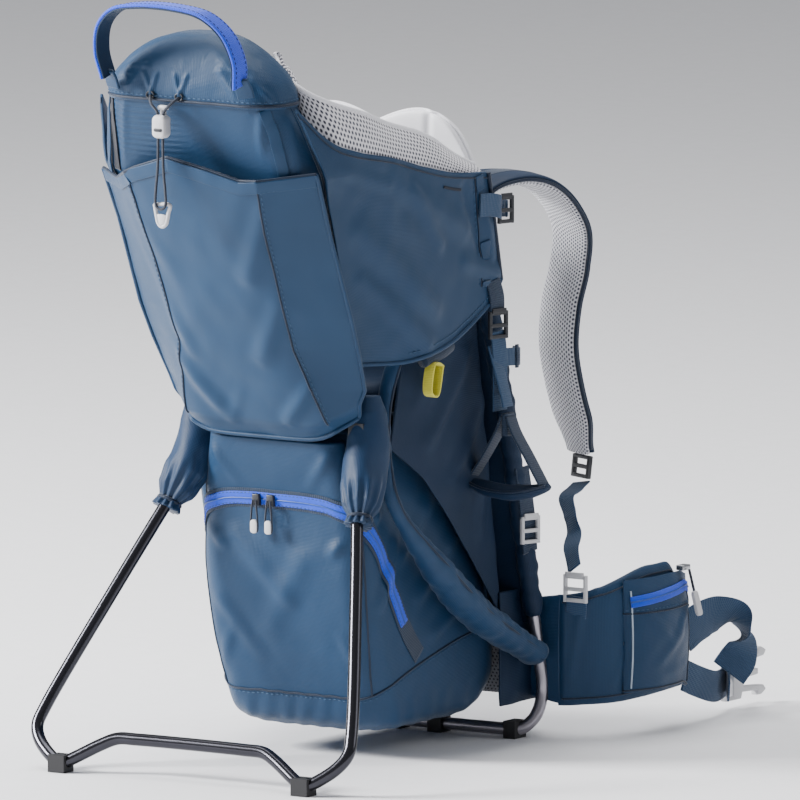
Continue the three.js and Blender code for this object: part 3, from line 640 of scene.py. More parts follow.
def compartment_rear(z):
    behind = pocket_y(np.minimum(z, POCKET_TOP_Z)) + 19
    above = np.clip((z - POCKET_TOP_Z) / (LID_SEAM_Z - POCKET_TOP_Z), 0, 1)
    return mixed(behind, LID_REAR_Y, above)


def compartment_half(z):
    return np.interp(z, COMPARTMENT_Z, COMPARTMENT_HALF)


def wing_x(y, z):
    rear = compartment_half(z) + 5 + mixed(2, 7, smooth((z - 540) / 40))
    return mixed(rear, WING_X, smooth((y - compartment_rear(z) - 6) / 110))


def round_ring(z, half, rear, front, corner, count):
    """A level ring with round corners, evenly spaced from the middle of the rear face towards +X."""
    points = []
    for cx, cy, start in ((1, 0, -90), (1, 1, 0), (-1, 1, 90), (-1, 0, 180)):
        for step in range(0, 91, 10):
            a = math.radians(start + step)
            y = (front - corner) if cy else (rear + corner)
            points.append((cx * (half - corner) + corner * math.cos(a), y + corner * math.sin(a), z))
    middle = (0, rear, z)
    return resample([middle] + points + [middle], count + 1)[:-1]


def ring_stack(table, rows, count):
    """Rings between the ones in a table, smoothly joined: (z, half, rear, front, corner)."""
    table = curve(table, rows)
    return np.array([round_ring(*row, count=count) for row in table])


# ---- Tubes, feet and the fabric that covers the struts ----

def make_tubes():
    route = curve(back_frame_route(), 160)
    put(tube("back_frame_tube", route, TUBE_RADIUS, BASE_METAL), "carrier", "back_frame", slot="base_tube")
    route = curve(base_bar_route(), 150)
    put(tube("base_bar_tube", route, TUBE_RADIUS, BASE_METAL), "carrier", "base_bar", slot="base_tube")
    for word, _ in SIDES:
        for node_name in ("base_foot", "base_clip", "kickstand_foot"):
            paint(f"{node_name}_{word}", RUBBER)
        paint(f"hinge_block_{word}", DARK_PLASTIC)
        paint(f"hinge_pin_{word}", STEEL)


def paint(node_name, material):
    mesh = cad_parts[node_name].data
    mesh.materials.clear()
    mesh.materials.append(material)


def make_stand():
    """The bent tube, with a flattened lug at each end that turns in its hinge block."""
    route = curve(stand_route(), 260)
    pieces = [tube("kickstand_tube", route, TUBE_RADIUS, STAND_METAL, 28)]
    for word, sign in SIDES:
        x = sign * PIVOT[0]
        reach = np.linspace(-1, 26, 14)
        neck = np.array([stand_point(x, r) for r in reach])
        pieces.append(sweep(f"lug_{word}", neck, rounded(7, 12.5, 3), STAND_METAL, X_AXIS))
        ring = np.linspace(-3.5, 3.5, 9)
        eye = np.array([(x + k, PIVOT[1], PIVOT[2]) for k in ring])
        radius = 10 - 0.8 * (np.abs(ring) > 3)
        pieces.append(tube(f"eye_{word}", eye, radius, STAND_METAL, 28))
    put(merge("kickstand_tube", pieces), "kickstand", "kickstand_frame", slot="stand_tube")


def make_strut_sleeves():
    """Fabric sewn round each strut: wide and slack along the bottom, close to the tube at the top."""
    for word, sign in SIDES:
        route = curve(strut_route(sign), 150)
        t = np.linspace(0, 1, len(route))
        width = 16 + 4.5 * bump(t, 0.2, 0.15) - 8 * smooth((t - 0.3) / 0.2)
        depth = width * 0.72
        angle, section = around(40)
        sections = section[None] * np.stack([width, depth], axis=1)[:, None]
        creases = 1 + 0.05 * np.sin(26 * math.pi * t)[:, None] * np.cos(angle + 1)[None]
        creases += 0.04 * np.sin(61 * math.pi * t + 1)[:, None] * np.sin(2 * angle)[None]
        sections = sections * creases[:, :, None]
        obj = sweep(f"strut_sleeve_{word}", route, sections, FABRIC, X_AXIS)
        push(obj, lambda p: 1.2 * lumps(p, 26, 3.0) + 0.5 * lumps(p, 11, 1.0))
        put(obj, "carrier", f"side_strut_{word}", slot="fabric")
        _, across, _ = carried(route, X_AXIS)
        seam = route + across * (width * sign)[:, None] * 0.96
        put(tube(f"strut_seam_{word}", seam[4:-4], 1.3, PIPING, 10), "carrier", slot="dark_fabric")


# ---- Drawcord of the lid, its lock and its pull ----

def drawcord_route():
    x, y, z = LOCK[0], LOCK[1] - 1.5, LOCK[2]
    half = [
        (x - 16, -344.5, 647), (x - 15, -347.5, 645.5), (x - 10.5, y, 640), (x - 4, y, z + 14),
        (x - 2.6, y, z + 8), (x - 2.6, y, z - 6), (x - 2.8, y, z - 30), (x - 3.6, y, z - 45),
        (x - 5.2, y, z - 60), (x - 5.6, y, PULL_Z + 5.6), (x - 4, y, PULL_Z + 1.6), (x, y, PULL_Z),
    ]
    other = [(2 * x - px, py, pz) for px, py, pz in half[:-1]][::-1]
    return np.array(half + other)


def make_drawcord():
    route = curve(drawcord_route(), 240)
    cord = tube("lid_drawcord", route, 1.3, CORD, 12)
    put(cord, "carrier", "drawcord", slot="cord")
    lock = make_cord_lock()
    button = make_lock_button()
    pull = make_cord_pull()


def moulded(name, node_name, material, bevel=0.8, segments=3):
    """A moulded part with the outline of its CAD node and its edges rounded."""
    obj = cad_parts[node_name].copy()
    obj.data = obj.data.copy()
    obj.name = name
    obj.data.name = name
    bpy.context.scene.collection.objects.link(obj)
    obj.hide_render = False
    obj.hide_viewport = False
    work = bmesh.new()
    work.from_mesh(obj.data)
    bmesh.ops.remove_doubles(work, verts=work.verts, dist=2e-5)
    flat = [e for e in work.edges if len(e.link_faces) == 2 and e.calc_face_angle(0) < 0.02]
    bmesh.ops.dissolve_edges(work, edges=flat, use_verts=True)
    sharp = [e for e in work.edges if len(e.link_faces) == 2 and e.calc_face_angle(0) > 0.5]
    bmesh.ops.bevel(
        work, geom=sharp, offset=bevel * MM, segments=segments, profile=0.5, affect="EDGES",
        clamp_overlap=True,
    )
    bmesh.ops.triangulate(work, faces=[f for f in work.faces if len(f.verts) > 4])
    work.to_mesh(obj.data)
    work.free()
    obj.data.materials.clear()
    obj.data.materials.append(material)
    for polygon in obj.data.polygons:
        polygon.use_smooth = True
    if not obj.data.uv_layers:
        obj.data.uv_layers.new(name="metres")
    return obj


def slab(name, shape, thick, centre, across, up, material, round_edge=0.8):
    """A plate with an outline in its own plane, with rounded edges. across and up are directions."""
    across, up = unit(np.array(across, float)), unit(np.array(up, float))
    out = np.cross(across, up)
    shape = np.array(shape, float)
    middle = shape.mean(axis=0)
    rings = []
    for depth, inset in ((0, round_edge), (round_edge * 0.3, round_edge * 0.3), (round_edge, 0)):
        rings.append((depth - thick / 2, inset))
    for depth, inset in ((round_edge, 0), (round_edge * 0.3, round_edge * 0.3), (0, round_edge)):
        rings.append((thick / 2 - depth, inset))
    stack = []
    for depth, inset in rings:
        away = shape - middle
        scale = 1 - inset / np.maximum(np.linalg.norm(away, axis=1, keepdims=True), 1e-6)
        flat = middle + away * scale
        stack.append(np.array(centre) + flat[:, :1] * across + flat[:, 1:] * up + out * depth)
    return lofted(name, np.array(stack), material)


def snapped(obj, route, lift=0.0):
    """Points of a route brought onto a piece's surface, with the surface's directions there."""
    points, normals = [], []
    for p in np.asarray(route, float):
        _, place, normal, _ = obj.closest_point_on_mesh(Vector(p * MM))
        points.append(np.array(place) / MM)
        normals.append(np.array(normal))
    points, normals = np.array(points), unit(np.array(normals))
    for _ in range(2):
        normals[1:-1] = unit(normals[:-2] + 2 * normals[1:-1] + normals[2:])
    return points + normals * lift, normals


def ribbon(name, points, normals, width, thick, material):
    """A flat strip that lies with its face along the given directions."""
    tangent = unit(np.gradient(points, axis=0))
    side = unit(np.cross(normals, tangent))
    section = rounded(width, thick)
    grid = points[:, None] + side[:, None] * section[:, 0][None, :, None]
    grid = grid + unit(normals)[:, None] * section[:, 1][None, :, None]
    return lofted(name, grid, material)


def stitches(name, points, normals, material, length=3.4, gap=2.0, radius=0.42):
    """A row of thread dashes, slightly sunk in the cloth."""
    run = np.concatenate([[0], np.cumsum(np.linalg.norm(np.diff(points, axis=0), axis=1))])
    starts = np.arange(1.0, run[-1] - length, length + gap)
    all_points, faces, uvs = [], [], []
    angle = np.linspace(0, 2 * math.pi, 6, endpoint=False)
    for start in starts:
        at = start + np.array([0, 0.25, 0.75, 1]) * length
        centre = np.stack([np.interp(at, run, points[:, k]) for k in range(3)], axis=1)
        out = np.stack([np.interp(at, run, normals[:, k]) for k in range(3)], axis=1)
        way = unit(np.gradient(centre, axis=0))
        side = unit(np.cross(out, way))
        size = radius * np.array([0.35, 1, 1, 0.35])
        base = len(all_points)
        for k in range(4):
            for a in angle:
                offset = side[k] * math.cos(a) * 1.2 + out[k] * math.sin(a)
                all_points.append(centre[k] + size[k] * offset)
                uvs.append((at[k], a))
        for row in (base, base + 6, base + 12):
            for j in range(6):
                n = (j + 1) % 6
                faces.append((row + j, row + n, row + 6 + n, row + 6 + j))
        faces.append(tuple(base + j for j in range(5, -1, -1)))
        faces.append(tuple(base + 18 + j for j in range(6)))
    obj = add_mesh(name, np.array(all_points), faces, np.array(uvs), material)
    edited(obj, face_outward)
    return obj


def strip_on(obj, name, route, lift, width, thick, material, body, slot):
    """A flat strip laid along a surface. Returns its middle line and the directions out of it."""
    points, out = snapped(obj, route, lift)
    put(ribbon(name, points, out, width, thick, material), body, slot=slot)
    return points, out


def seam_on(obj, name, route, body, material=PIPING, radius=1.1, stitch=3.5):
    """Piping along a surface, and a row of stitches beside it."""
    points, normals = snapped(obj, route, 0.2)
    put(tube(name, points, radius, material, 10), body, slot="dark_fabric")
    if stitch:
        side = unit(np.cross(normals, unit(np.gradient(points, axis=0))))
        beside, out = snapped(obj, points + side * stitch, 0.25)
        put(stitches(f"{name}_stitches", beside, out, THREAD), body, slot="fabric")


def push(obj, move):
    """Moves every point of a piece along its surface direction by move(points), in millimetres."""
    mesh = obj.data
    count = len(mesh.vertices)
    points = np.empty(count * 3)
    mesh.vertices.foreach_get("co", points)
    points = points.reshape(-1, 3)
    normals = np.array([v.normal for v in mesh.vertices])
    moved = points + normals * (np.asarray(move(points / MM))[:, None] * MM)
    mesh.vertices.foreach_set("co", moved.ravel())
    mesh.update()


def folds(points, lines):
    """Heights of soft ridges laid along segments: each line is start, end, width and height."""
    total = np.zeros(len(points))
    for start, end, width, height in lines:
        start, end = np.array(start, float), np.array(end, float)
        way = end - start
        length = np.linalg.norm(way)
        t = np.clip((points - start) @ way / length ** 2, -0.3, 1.3)
        near = start + np.clip(t, 0, 1)[:, None] * way
        far = np.linalg.norm(points - near, axis=1) / width
        taper = smooth((t + 0.3) / 0.45) * smooth((1.3 - t) / 0.45)
        total += height * taper * np.exp(-far ** 2) * (1 - 0.9 * far ** 2)
    return total


# ---- Luggage bag with its arched zip ----

BAG_RINGS = [
    (27, 76, -126, 30, 34), (36, 88, -141, 45, 36), (60, 92, -151, 66, 32), (110, 94, -166, 60, 28),
    (181, 93, -181, 44, 26), (241, 90, -185, 32, 26), (280, 82, -195, 24, 24), (308, 74, -200, 18, 22),
]
ZIP_HALF = [
    (97, -84, 96), (97, -107, 122), (97, -124, 150), (95, -150, 202), (86, -176, 234),
    (62, -188, 245), (30, -191, 248), (1, -191, 248),
]
LOWER_SEAM_HALF = [
    (95, 40, 112), (97, -12, 104), (97, -81, 88), (95, -131, 72), (80, -152, 60), (50, -160, 58),
    (0, -160, 58),
]
BAG_CORNER = [(88, -186, 268), (90, -176, 236), (90, -170, 180), (88, -160, 110), (86, -150, 62)]
BAG_FRONT = [(95, 18, 236), (96, 26, 200), (97, 40, 140), (96, 50, 90)]


def bag_creases(points):
    lines = []
    for s in (1, -1):
        lines += [
            ((92 * s, -150, 238), (60 * s, -188, 200), 8, 2.6),
            ((95 * s, -120, 210), (94 * s, -150, 150), 9, 2.4),
            ((96 * s, -60, 240), (96 * s, -118, 190), 11, 3.0),
            ((96 * s, -20, 200), (96 * s, -88, 150), 12, 2.6),
            ((96 * s, 10, 150), (96 * s, -60, 112), 10, 2.2),
            ((60 * s, -176, 120), (88 * s, -158, 72), 9, 2.2),
            ((30 * s, -178, 110), (12 * s, -162, 66), 8, 1.4),
            ((70 * s, -200, 300), (40 * s, -197, 262), 8, 2.0),
            ((84 * s, -190, 300), (88 * s, -160, 262), 8, 2.2),
        ]
    lines += [
        ((-48, -182, 214), (10, -180, 152), 13, 2.2),
        ((30, -184, 196), (-20, -176, 118), 16, 1.8),
        ((-70, -176, 150), (-30, -170, 90), 11, 1.8),
    ]
    wave = points[:, 0] * 0.3 + points[:, 1] * 0.22 + 2 * lumps(points, 30)
    gathered = 0.35 * np.sin(wave) * smooth((66 - points[:, 2]) / 12)
    return 1.2 * folds(points, lines) + gathered + 0.7 * lumps(points, 42) + 0.25 * lumps(points, 15, 5.0)


def make_bag():
    bag = lofted("luggage_bag", ring_stack(BAG_RINGS, 150, 300), FABRIC)
    push(bag, bag_creases)
    put(bag, "carrier", "lower_bag", slot="fabric", fill=0.6)
    route = curve(mirror(both(ZIP_HALF), -1), 260)
    strip_on(bag, "bag_zip_tape", route, 0.6, 19, 1.2, DARK_WEBBING, "carrier", "dark_fabric")
    points, out = strip_on(
        bag, "bag_zip_cover", route[22:-22], 1.6, 12.5, 1.6, ACCENT_LIGHT, "carrier", "accent_webbing",
    )
    side = unit(np.cross(out, unit(np.gradient(points, axis=0))))
    for k, shift in enumerate((-5.2, 5.2)):
        place = points + side * shift + out * 0.8
        row = stitches(f"bag_zip_stitches_{k}", place, out, THREAD, 2.6, 1.6, 0.35)
        put(row, "carrier", slot="fabric")
    put(tube("bag_zip_coil", points + out * 0.9, 0.9, BLUE_TEETH, 8), "carrier", slot="accent_webbing")
    seam_on(bag, "bag_lower_seam", curve(both(LOWER_SEAM_HALF), 260), "carrier")
    for word, sign in SIDES:
        corner = curve(mirror(BAG_CORNER, sign), 90)
        seam_on(bag, f"bag_corner_seam_{word}", corner, "carrier", radius=0.9, stitch=0)
        front = curve(mirror(BAG_FRONT, sign), 80)
        seam_on(bag, f"bag_front_seam_{word}", front, "carrier", radius=1.2)
        make_bag_slider(word, sign)


def make_bag_slider(word, sign):
    slider = moulded(f"bag_slider_{word}", f"bag_zip_slider_{word}", DARK_PLASTIC, 1.0)
    put(slider, f"bag_slider_{word}", f"bag_zip_slider_{word}", slot="dark_plastic")
    x = -11 + sign * 8
    half = np.array([(1.7, 248.0), (3.1, 236), (3.9, 222), (3.6, 219), (0, 217.6)])
    path = [(x + a, -194.2, z) for a, z in half] + [(x - a, -194.2, z) for a, z in half[::-1][1:]]
    loop = tube(f"bag_pull_cord_{word}", curve(path, 60), 0.9, CORD, 10)
    put(loop, f"bag_pull_{word}", f"bag_zip_pull_{word}", slot="pale_plastic")
    shape = rounded(7.5, 13, 3, 6)
    tip = slab(f"bag_pull_grip_{word}", shape, 3.4, (x, -194.2, 223), X_AXIS, Z_AXIS, PALE_PLASTIC)
    put(tip, f"bag_pull_{word}", slot="pale_plastic")


# ---- Rear compartment, stretch pocket and domed lid ----

def compartment_rings(rows, count):
    rings = []
    for z in np.linspace(331, LID_SEAM_Z + 1, rows):
        rear = float(compartment_rear(z))
        half = float(compartment_half(z))
        rings.append(round_ring(z, half, rear, rear + 66, 34, count))
    return np.array(rings)


def compartment_creases(points):
    lines = [
        ((-12, -346, 628), (34, -336, 588), 5, 3.2),
        ((34, -336, 592), (58, -330, 566), 6, 2.6),
        ((-30, -345, 634), (-52, -334, 590), 6, 2.4),
        ((10, -345, 636), (62, -336, 600), 6, 2.8),
        ((-70, -342, 636), (-84, -322, 580), 6, 2.2),
        ((82, -334, 636), (72, -328, 580), 7, 2.4),
    ]
    lines += [((96 * s, -312, 630), (104 * s, -300, 560), 8, 2.4) for s in (1, -1)]
    upper = smooth((points[:, 2] - 575) / 20)
    left = smooth((-4 - points[:, 0]) / 20) * smooth((points[:, 0] + 92) / 14)
    ribs = 0.55 * np.sin(points[:, 2] * 1.15 + 0.4 * np.sin(points[:, 0] * 0.09)) * left * upper
    return folds(points, lines) + ribs + 0.8 * lumps(points, 30, 2.0) * upper


def make_compartment():
    body = lofted("rear_compartment_cloth", compartment_rings(190, 300), FABRIC)
    push(body, compartment_creases)
    put(body, "carrier", "rear_compartment", slot="fabric", fill=0.5)
    satin = curve([(84, -334, 640), (91, -328, 616), (95, -322, 586), (96, -318, 566)], 50)
    strip_on(body, "lid_satin_strip", satin, 0.9, 11, 1.0, STRETCH, "carrier", "fabric")
    # painted shade: a near-black strip where the slit opens under the flap
    dark = curve([(-91, -330, 640), (-93, -326, 612), (-96, -318, 586), (-98, -314, 566)], 50)
    strip_on(body, "lid_side_slit", dark, 0.7, 9, 1.2, SLIT_SHADE_CLOTH, "carrier", "dark_fabric")
    flap = curve([(-96, -322, 641), (-99, -317, 612), (-103, -309, 586), (-105, -303, 566)], 50)
    strip_on(body, "lid_side_flap", flap, 2.4, 8, 1.6, FABRIC, "carrier", "fabric")


HEM_X = (-118, -93, -60, -20, 20, 54, 76, 121)
HEM_Z = (566, 561, 575, 588, 579, 570, 571, 578)
PANEL_Z = (312, 326, 403, 519, 572)
PANEL_HALF = (80, 80, 64, 68, 74)
POCKET_EDGE_Z = (312, 325, 336, 362, 400, 435, 519, 572)
POCKET_EDGE_HALF = (86, 91, 97, 109, 115, 118, 118, 121)
GUSSET_DEPTH = (8, 14, 22, 34, 32, 31, 34, 34)


def pocket_grid(across, along):
    """The pocket's outer face: a rear panel and, outside its two seams, gussets that turn forward."""
    s, v = axes(-1, across, along)
    top_x = s * 119
    top = np.interp(top_x, HEM_X, HEM_Z)
    low = 312 + 22 * np.abs(s) ** 7
    z = mixed(low, top, v)
    total = np.interp(z, POCKET_EDGE_Z, POCKET_EDGE_HALF)
    x = s * total
    panel = np.interp(z, PANEL_Z, PANEL_HALF)
    outside = np.clip((np.abs(x) - panel) / (total - panel), 0, None)
    crown = np.clip(1 - (np.abs(x) / panel) ** 4, 0, 1)
    turned = np.interp(z, POCKET_EDGE_Z, GUSSET_DEPTH) * outside
    swell = mixed(8, 9, v) * crown * np.sin(np.pi * np.clip(v * 0.9 + 0.1, 0, 1)) ** 0.4
    y = pocket_y(z) + turned - swell + 9 * smooth((0.07 - v) / 0.07)
    return np.stack([x, y, z], axis=2)


def pocket_creases(points):
    lines = [
        ((-86, -330, 545), (-40, -300, 450), 14, 2.4),
        ((-92, -300, 490), (-50, -262, 390), 13, 2.2),
        ((-84, -262, 400), (-30, -232, 336), 12, 2.6),
        ((84, -330, 552), (40, -300, 470), 14, 2.4),
        ((86, -296, 470), (30, -262, 390), 14, 2.6),
        ((82, -246, 372), (40, -230, 330), 10, 2.4),
        ((0, -252, 360), (-26, -226, 322), 9, 1.8),
    ]
    for s in (1, -1):
        lines.append(((104 * s, -310, 540), (92 * s, -276, 430), 7, 2.2))
        lines.append(((98 * s, -280, 470), (90 * s, -236, 350), 6, 2.0))
    return 1.5 * folds(points, lines) + 1.7 * lumps(points, 62, 7.0) + 0.7 * lumps(points, 24, 3.0)


def make_pocket():
    grid = pocket_grid(190, 190)
    pocket = shell("stretch_pocket_cloth", grid, 2.2, STRETCH, inward=Y_AXIS)
    sheet_signs(pocket, pocket_creases)
    put(pocket, "carrier", "stretch_pocket", slot="fabric")
    stretched_cloth(pocket, grid, "rear_compartment_cloth")
    hem = resample(grid[:, -1], 240)
    middle = hem + np.array([0, 0.2, -6.5])
    strip_on(pocket, "pocket_hem_band", middle, 0.7, 13, 1.6, STRETCH, "carrier", "fabric")
    rim = hem + np.array([0, 0.6, 0.5])
    put(tube("pocket_hem_edge", rim, 1.7, PIPING, 12), "carrier", slot="dark_fabric")
    row, out = snapped(pocket, hem + np.array([0, 0.4, -12.0]), 1.1)
    put(stitches("pocket_hem_stitches", row, out, THREAD, 2.8, 1.8, 0.38), "carrier", slot="fabric")
    for word, sign in SIDES:
        z = np.linspace(326, 566, 120)
        seam = np.stack([sign * np.interp(z, PANEL_Z, PANEL_HALF), pocket_y(z) - 1, z], axis=1)
        seam_on(pocket, f"pocket_panel_seam_{word}", seam, "carrier", radius=1.0, stitch=-3.4 * sign)
        edge = resample(grid[-1 if sign > 0 else 0], 140)
        put(tube(f"pocket_side_piping_{word}", edge, 2.0, FABRIC, 12), "carrier", slot="fabric")
    lower = resample(grid[:, 0], 200)
    put(tube("pocket_bottom_piping", lower, 2.4, FABRIC, 12), "carrier", slot="fabric")


LID_RINGS = [
    (640, 97, -343, -272, 32), (650, 96, -345, -271, 32), (664, 90, -345, -273, 32),
    (678, 77, -343, -275, 31), (690, 60, -339, -279, 27), (699, 41, -334, -284, 20),
    (704, 22, -327, -291, 12), (705, 7, -316, -304, 4),
]


def lid_creases(points):
    lines = []
    for s in (1, -1):
        for reach, drop, size in ((18, 26, 2.0), (34, 16, 1.8), (30, 2, 1.5), (14, -12, 1.4)):
            lines.append(((72 * s, -345, 674), ((72 - reach) * s, -345, 674 + drop * 0.7), 4.5, size))
        lines.append(((80 * s, -343, 668), (90 * s, -330, 648), 4, 1.6))
        lines.append(((60 * s, -345, 652), (40 * s, -345, 676), 6, 1.5))
    for x, shift in ((-35, -8), (-35, 6), (-3, 8), (-3, -6)):
        lines.append(((x, -345, 648), (x + shift, -346, 668), 3.2, 1.7))
    return folds(points, lines) + 0.7 * lumps(points, 26, 4.0) + 0.3 * lumps(points, 10, 1.0)


def make_lid():
    lid = lofted("top_lid_cloth", ring_stack(LID_RINGS, 110, 300), FABRIC)
    push(lid, lid_creases)
    put(lid, "carrier", "top_lid", slot="fabric", fill=0.7)
    ring = round_ring(643, 97, -344, -271, 30, 260)
    seam_on(lid, "lid_seam", np.vstack([ring, ring[:1]]), "carrier", radius=1.5, stitch=3.6)
    for k, x in enumerate((-35, -3)):
        turn = np.linspace(0, 6.0, 14)
        ring = np.stack([x + 4 * np.cos(turn), 0 * turn - 346.2, 647 + 3.2 * np.sin(turn)], axis=1)
        eyelet = tube(f"cord_eyelet_{k}", curve(ring, 40), 0.9, DARK_PLASTIC, 10)
        put(eyelet, "carrier", slot="dark_plastic")


def make_handle():
    half = [(74, -360, 664), (77, -366, 688), (69, -374, 714), (50, -380, 731), (22, -383, 737)]
    route = curve(both(half), 200)
    band = webbing("handle_band", route, 22, 3.2, ACCENT, Y_AXIS)
    put(band, "handle", "grab_handle", slot="accent_webbing")
    _, side, _ = held(route, Y_AXIS)
    middle = route.mean(axis=0)
    inward = unit(np.cross(side, unit(np.gradient(route, axis=0))))
    turn = np.sign(np.sum(inward * (middle - route), axis=1, keepdims=True))
    inward = inward * turn
    backing = webbing("handle_backing", route + inward * 2.4, 21, 2.0, SHADED_FABRIC, Y_AXIS)
    put(backing, "handle", slot="dark_fabric")
    for k, shift in enumerate((-8.2, 8.2)):
        place = route + side * shift - inward * 1.7
        row = stitches(f"handle_stitches_{k}", place, -inward, DARK_THREAD, 3.0, 1.8, 0.4)
        put(row, "handle", slot="dark_fabric")
    for word, sign in SIDES:
        patch = curve(mirror([(74, -361, 670), (74, -354, 662), (74, -349, 652)], sign), 24)
        tab = webbing(f"handle_tab_{word}", patch, 17, 3, FABRIC, (1, 0.3 * sign, 0))
        put(tab, "carrier", slot="fabric")


def make_cord_lock():
    x, y, z = LOCK
    barrel = slab("drawcord_lock", rounded(15, 22, 5, 6), 12, (x, y, z), X_AXIS, Z_AXIS, PALE_PLASTIC, 2.6)
    shape = rounded(9.4, 3.2, 1.4, 6)
    mouth = slab("lock_mouth", shape, 1.2, (x, y - 5.8, z - 3), X_AXIS, Z_AXIS, DARK_PLASTIC, 0.4)
    put(mouth, "lock", slot="dark_plastic")
    return put(barrel, "lock", "cord_lock", slot="pale_plastic")


BUTTON_RINGS = (
    (4, 3.4, 1.4), (15.2, 3.4, 1.4), (15.5, 5.6, 2.24),
    (17.4, 6.2, 2.48), (19, 5.4, 2.16), (19.6, 3.5, 1.4),
)


def make_lock_button():
    """A stem in the lock and a round head above it: height, half width and half depth of each ring."""
    x, y, z = LOCK
    _, circle = around(28)
    rings = []
    for height, wide, deep in BUTTON_RINGS:
        place = np.array([x, y + 3.4, z + height])
        rings.append(place + circle[:, :1] * (wide, 0, 0) + circle[:, 1:] * (0, deep, 0))
    button = lofted("drawcord_button", np.array(rings), PALE_PLASTIC)
    return put(button, "lock_button", "cord_lock_button", slot="pale_plastic")


def make_cord_pull():
    x, y, z = LOCK[0], LOCK[1] + 1.5, PULL_Z
    rim = [(-8.5, 4), (8.5, 4), (7, -3), (4, -14), (0, -16.5), (-4, -14), (-7, -3), (-8.5, 4)]
    ring = curve([(x + a, y, z + b) for a, b in rim], 80)
    loop = tube("pull_rim", ring, 1.9, PALE_PLASTIC, 14)
    wedge = [(-5.5, 4), (5.5, 4), (3, -6), (-3, -6)]
    tip = slab("pull_tip", wedge, 3.4, (x, y, z - 9), X_AXIS, Z_AXIS, PALE_PLASTIC, 0.9)
    return put(merge("drawcord_pull", [loop, tip]), "carrier", "cord_pull", slot="pale_plastic")


# ---- Side wings, mesh collar and chin pad ----

WING_LOW = [(-205, 386), (-150, 384), (-119, 388), (-80, 396), (-39, 413), (-12, 428), (4, 446)]
WING_HIGH = [(-318, 640), (-272, 603), (-177, 580), (-92, 558), (-18, 549)]
COLLAR_LOW = [(-322, 630), (-272, 590), (-177, 566), (-90, 549), (-18, 536)]
COLLAR_HIGH = [(-342, 676), (-308, 660), (-275, 645), (-204, 621), (-126, 599), (-22, 556)]


def wing_face(low, high, across, along, inset, lean=0.0):
    t, v = axes(0, across, along)
    flat = mixed(curve(low, across)[:, None], curve(high, across)[:, None], v[..., None])
    y, z = flat[..., 0], flat[..., 1]
    x = wing_x(y, z) - inset - lean * v * smooth((t - 0.2) * 3)
    return np.stack([x, y, z], axis=2)


def wing_creases(points):
    lines = [
        ((122, -180, 560), (128, -60, 500), 16, 2.6),
        ((116, -230, 520), (126, -110, 430), 17, 3.2),
        ((112, -215, 470), (124, -120, 400), 13, 2.4),
        ((128, -60, 470), (128, 0, 450), 12, 2.0),
        ((118, -270, 580), (124, -190, 556), 9, 1.8),
        ((126, -150, 548), (129, -100, 490), 11, 1.8),
        ((128, -30, 530), (129, -10, 470), 9, 1.8),
        ((128, -60, 540), (129, -34, 480), 9, -1.6),
    ]
    points = points * np.array([np.sign(points[:, 0].mean()), 1, 1])
    return 1.4 * folds(points, lines) + 1.5 * lumps(points, 55, 6.0) + 0.6 * lumps(points, 20, 2.0)


def stretched_cloth(obj, grid, *rests_on):
    """Turns the panel's grid into metres and does nothing more; obj and rests_on are not used."""
    grid = np.asarray(grid, float) * MM


def sheet_signs(obj, creases):
    """Moves both faces of a thin shell the same way, so that its thickness stays."""
    half = len(obj.data.vertices) // 2
    side = np.where(np.arange(2 * half) < half, 1, -1)
    push(obj, lambda p: creases(p) * side)


def make_wings():
    for word, sign in SIDES:
        grid = mirror(wing_face(WING_LOW, WING_HIGH, 200, 130, 0.0), sign)
        wing = shell(f"wing_{word}", grid, 3.0, FABRIC, inward=(-sign, 0, 0))
        sheet_signs(wing, wing_creases)
        put(wing, "carrier", f"side_wing_{word}", slot="fabric")
        stretched_cloth(wing, grid, "rear_compartment_cloth")
        lower = resample(grid[:, 0], 200)
        put(tube(f"wing_hem_{word}", lower, 2.2, FABRIC, 12), "carrier", slot="fabric")
        hem, out = snapped(wing, lower + np.array([0, 0, 8]), 0.5)
        put(stitches(f"wing_hem_stitches_{word}", hem, out, THREAD), "carrier", slot="fabric")
        front = resample(grid[-1], 120)
        put(tube(f"wing_front_edge_{word}", front, 2.0, PIPING, 12), "carrier", slot="dark_fabric")
        band = curve(mirror([(128, -22, 442), (128, -24, 480), (128, -30, 520), (128, -34, 548)], sign), 80)
        strip_on(wing, f"wing_front_band_{word}", band, 0.8, 13, 1.2, FABRIC, "carrier", "fabric")
        beside = band + np.array([0, -8, 0])
        seam_on(wing, f"wing_front_seam_{word}", beside, "carrier", radius=0.7, stitch=2.6 * sign)
        top = grid[:, -1] + np.array([0, 0, -5.0])
        seam_on(wing, f"wing_top_seam_{word}", resample(top, 200), "carrier", radius=0.8, stitch=0)
        tack = curve(mirror([(128, -96, 544), (128, -78, 540), (128, -66, 538)], sign), 40)
        strip_on(wing, f"wing_bartack_{word}", tack, 0.5, 2.6, 1.2, DARK_THREAD, "carrier", "dark_fabric")
        make_collar(word, sign)


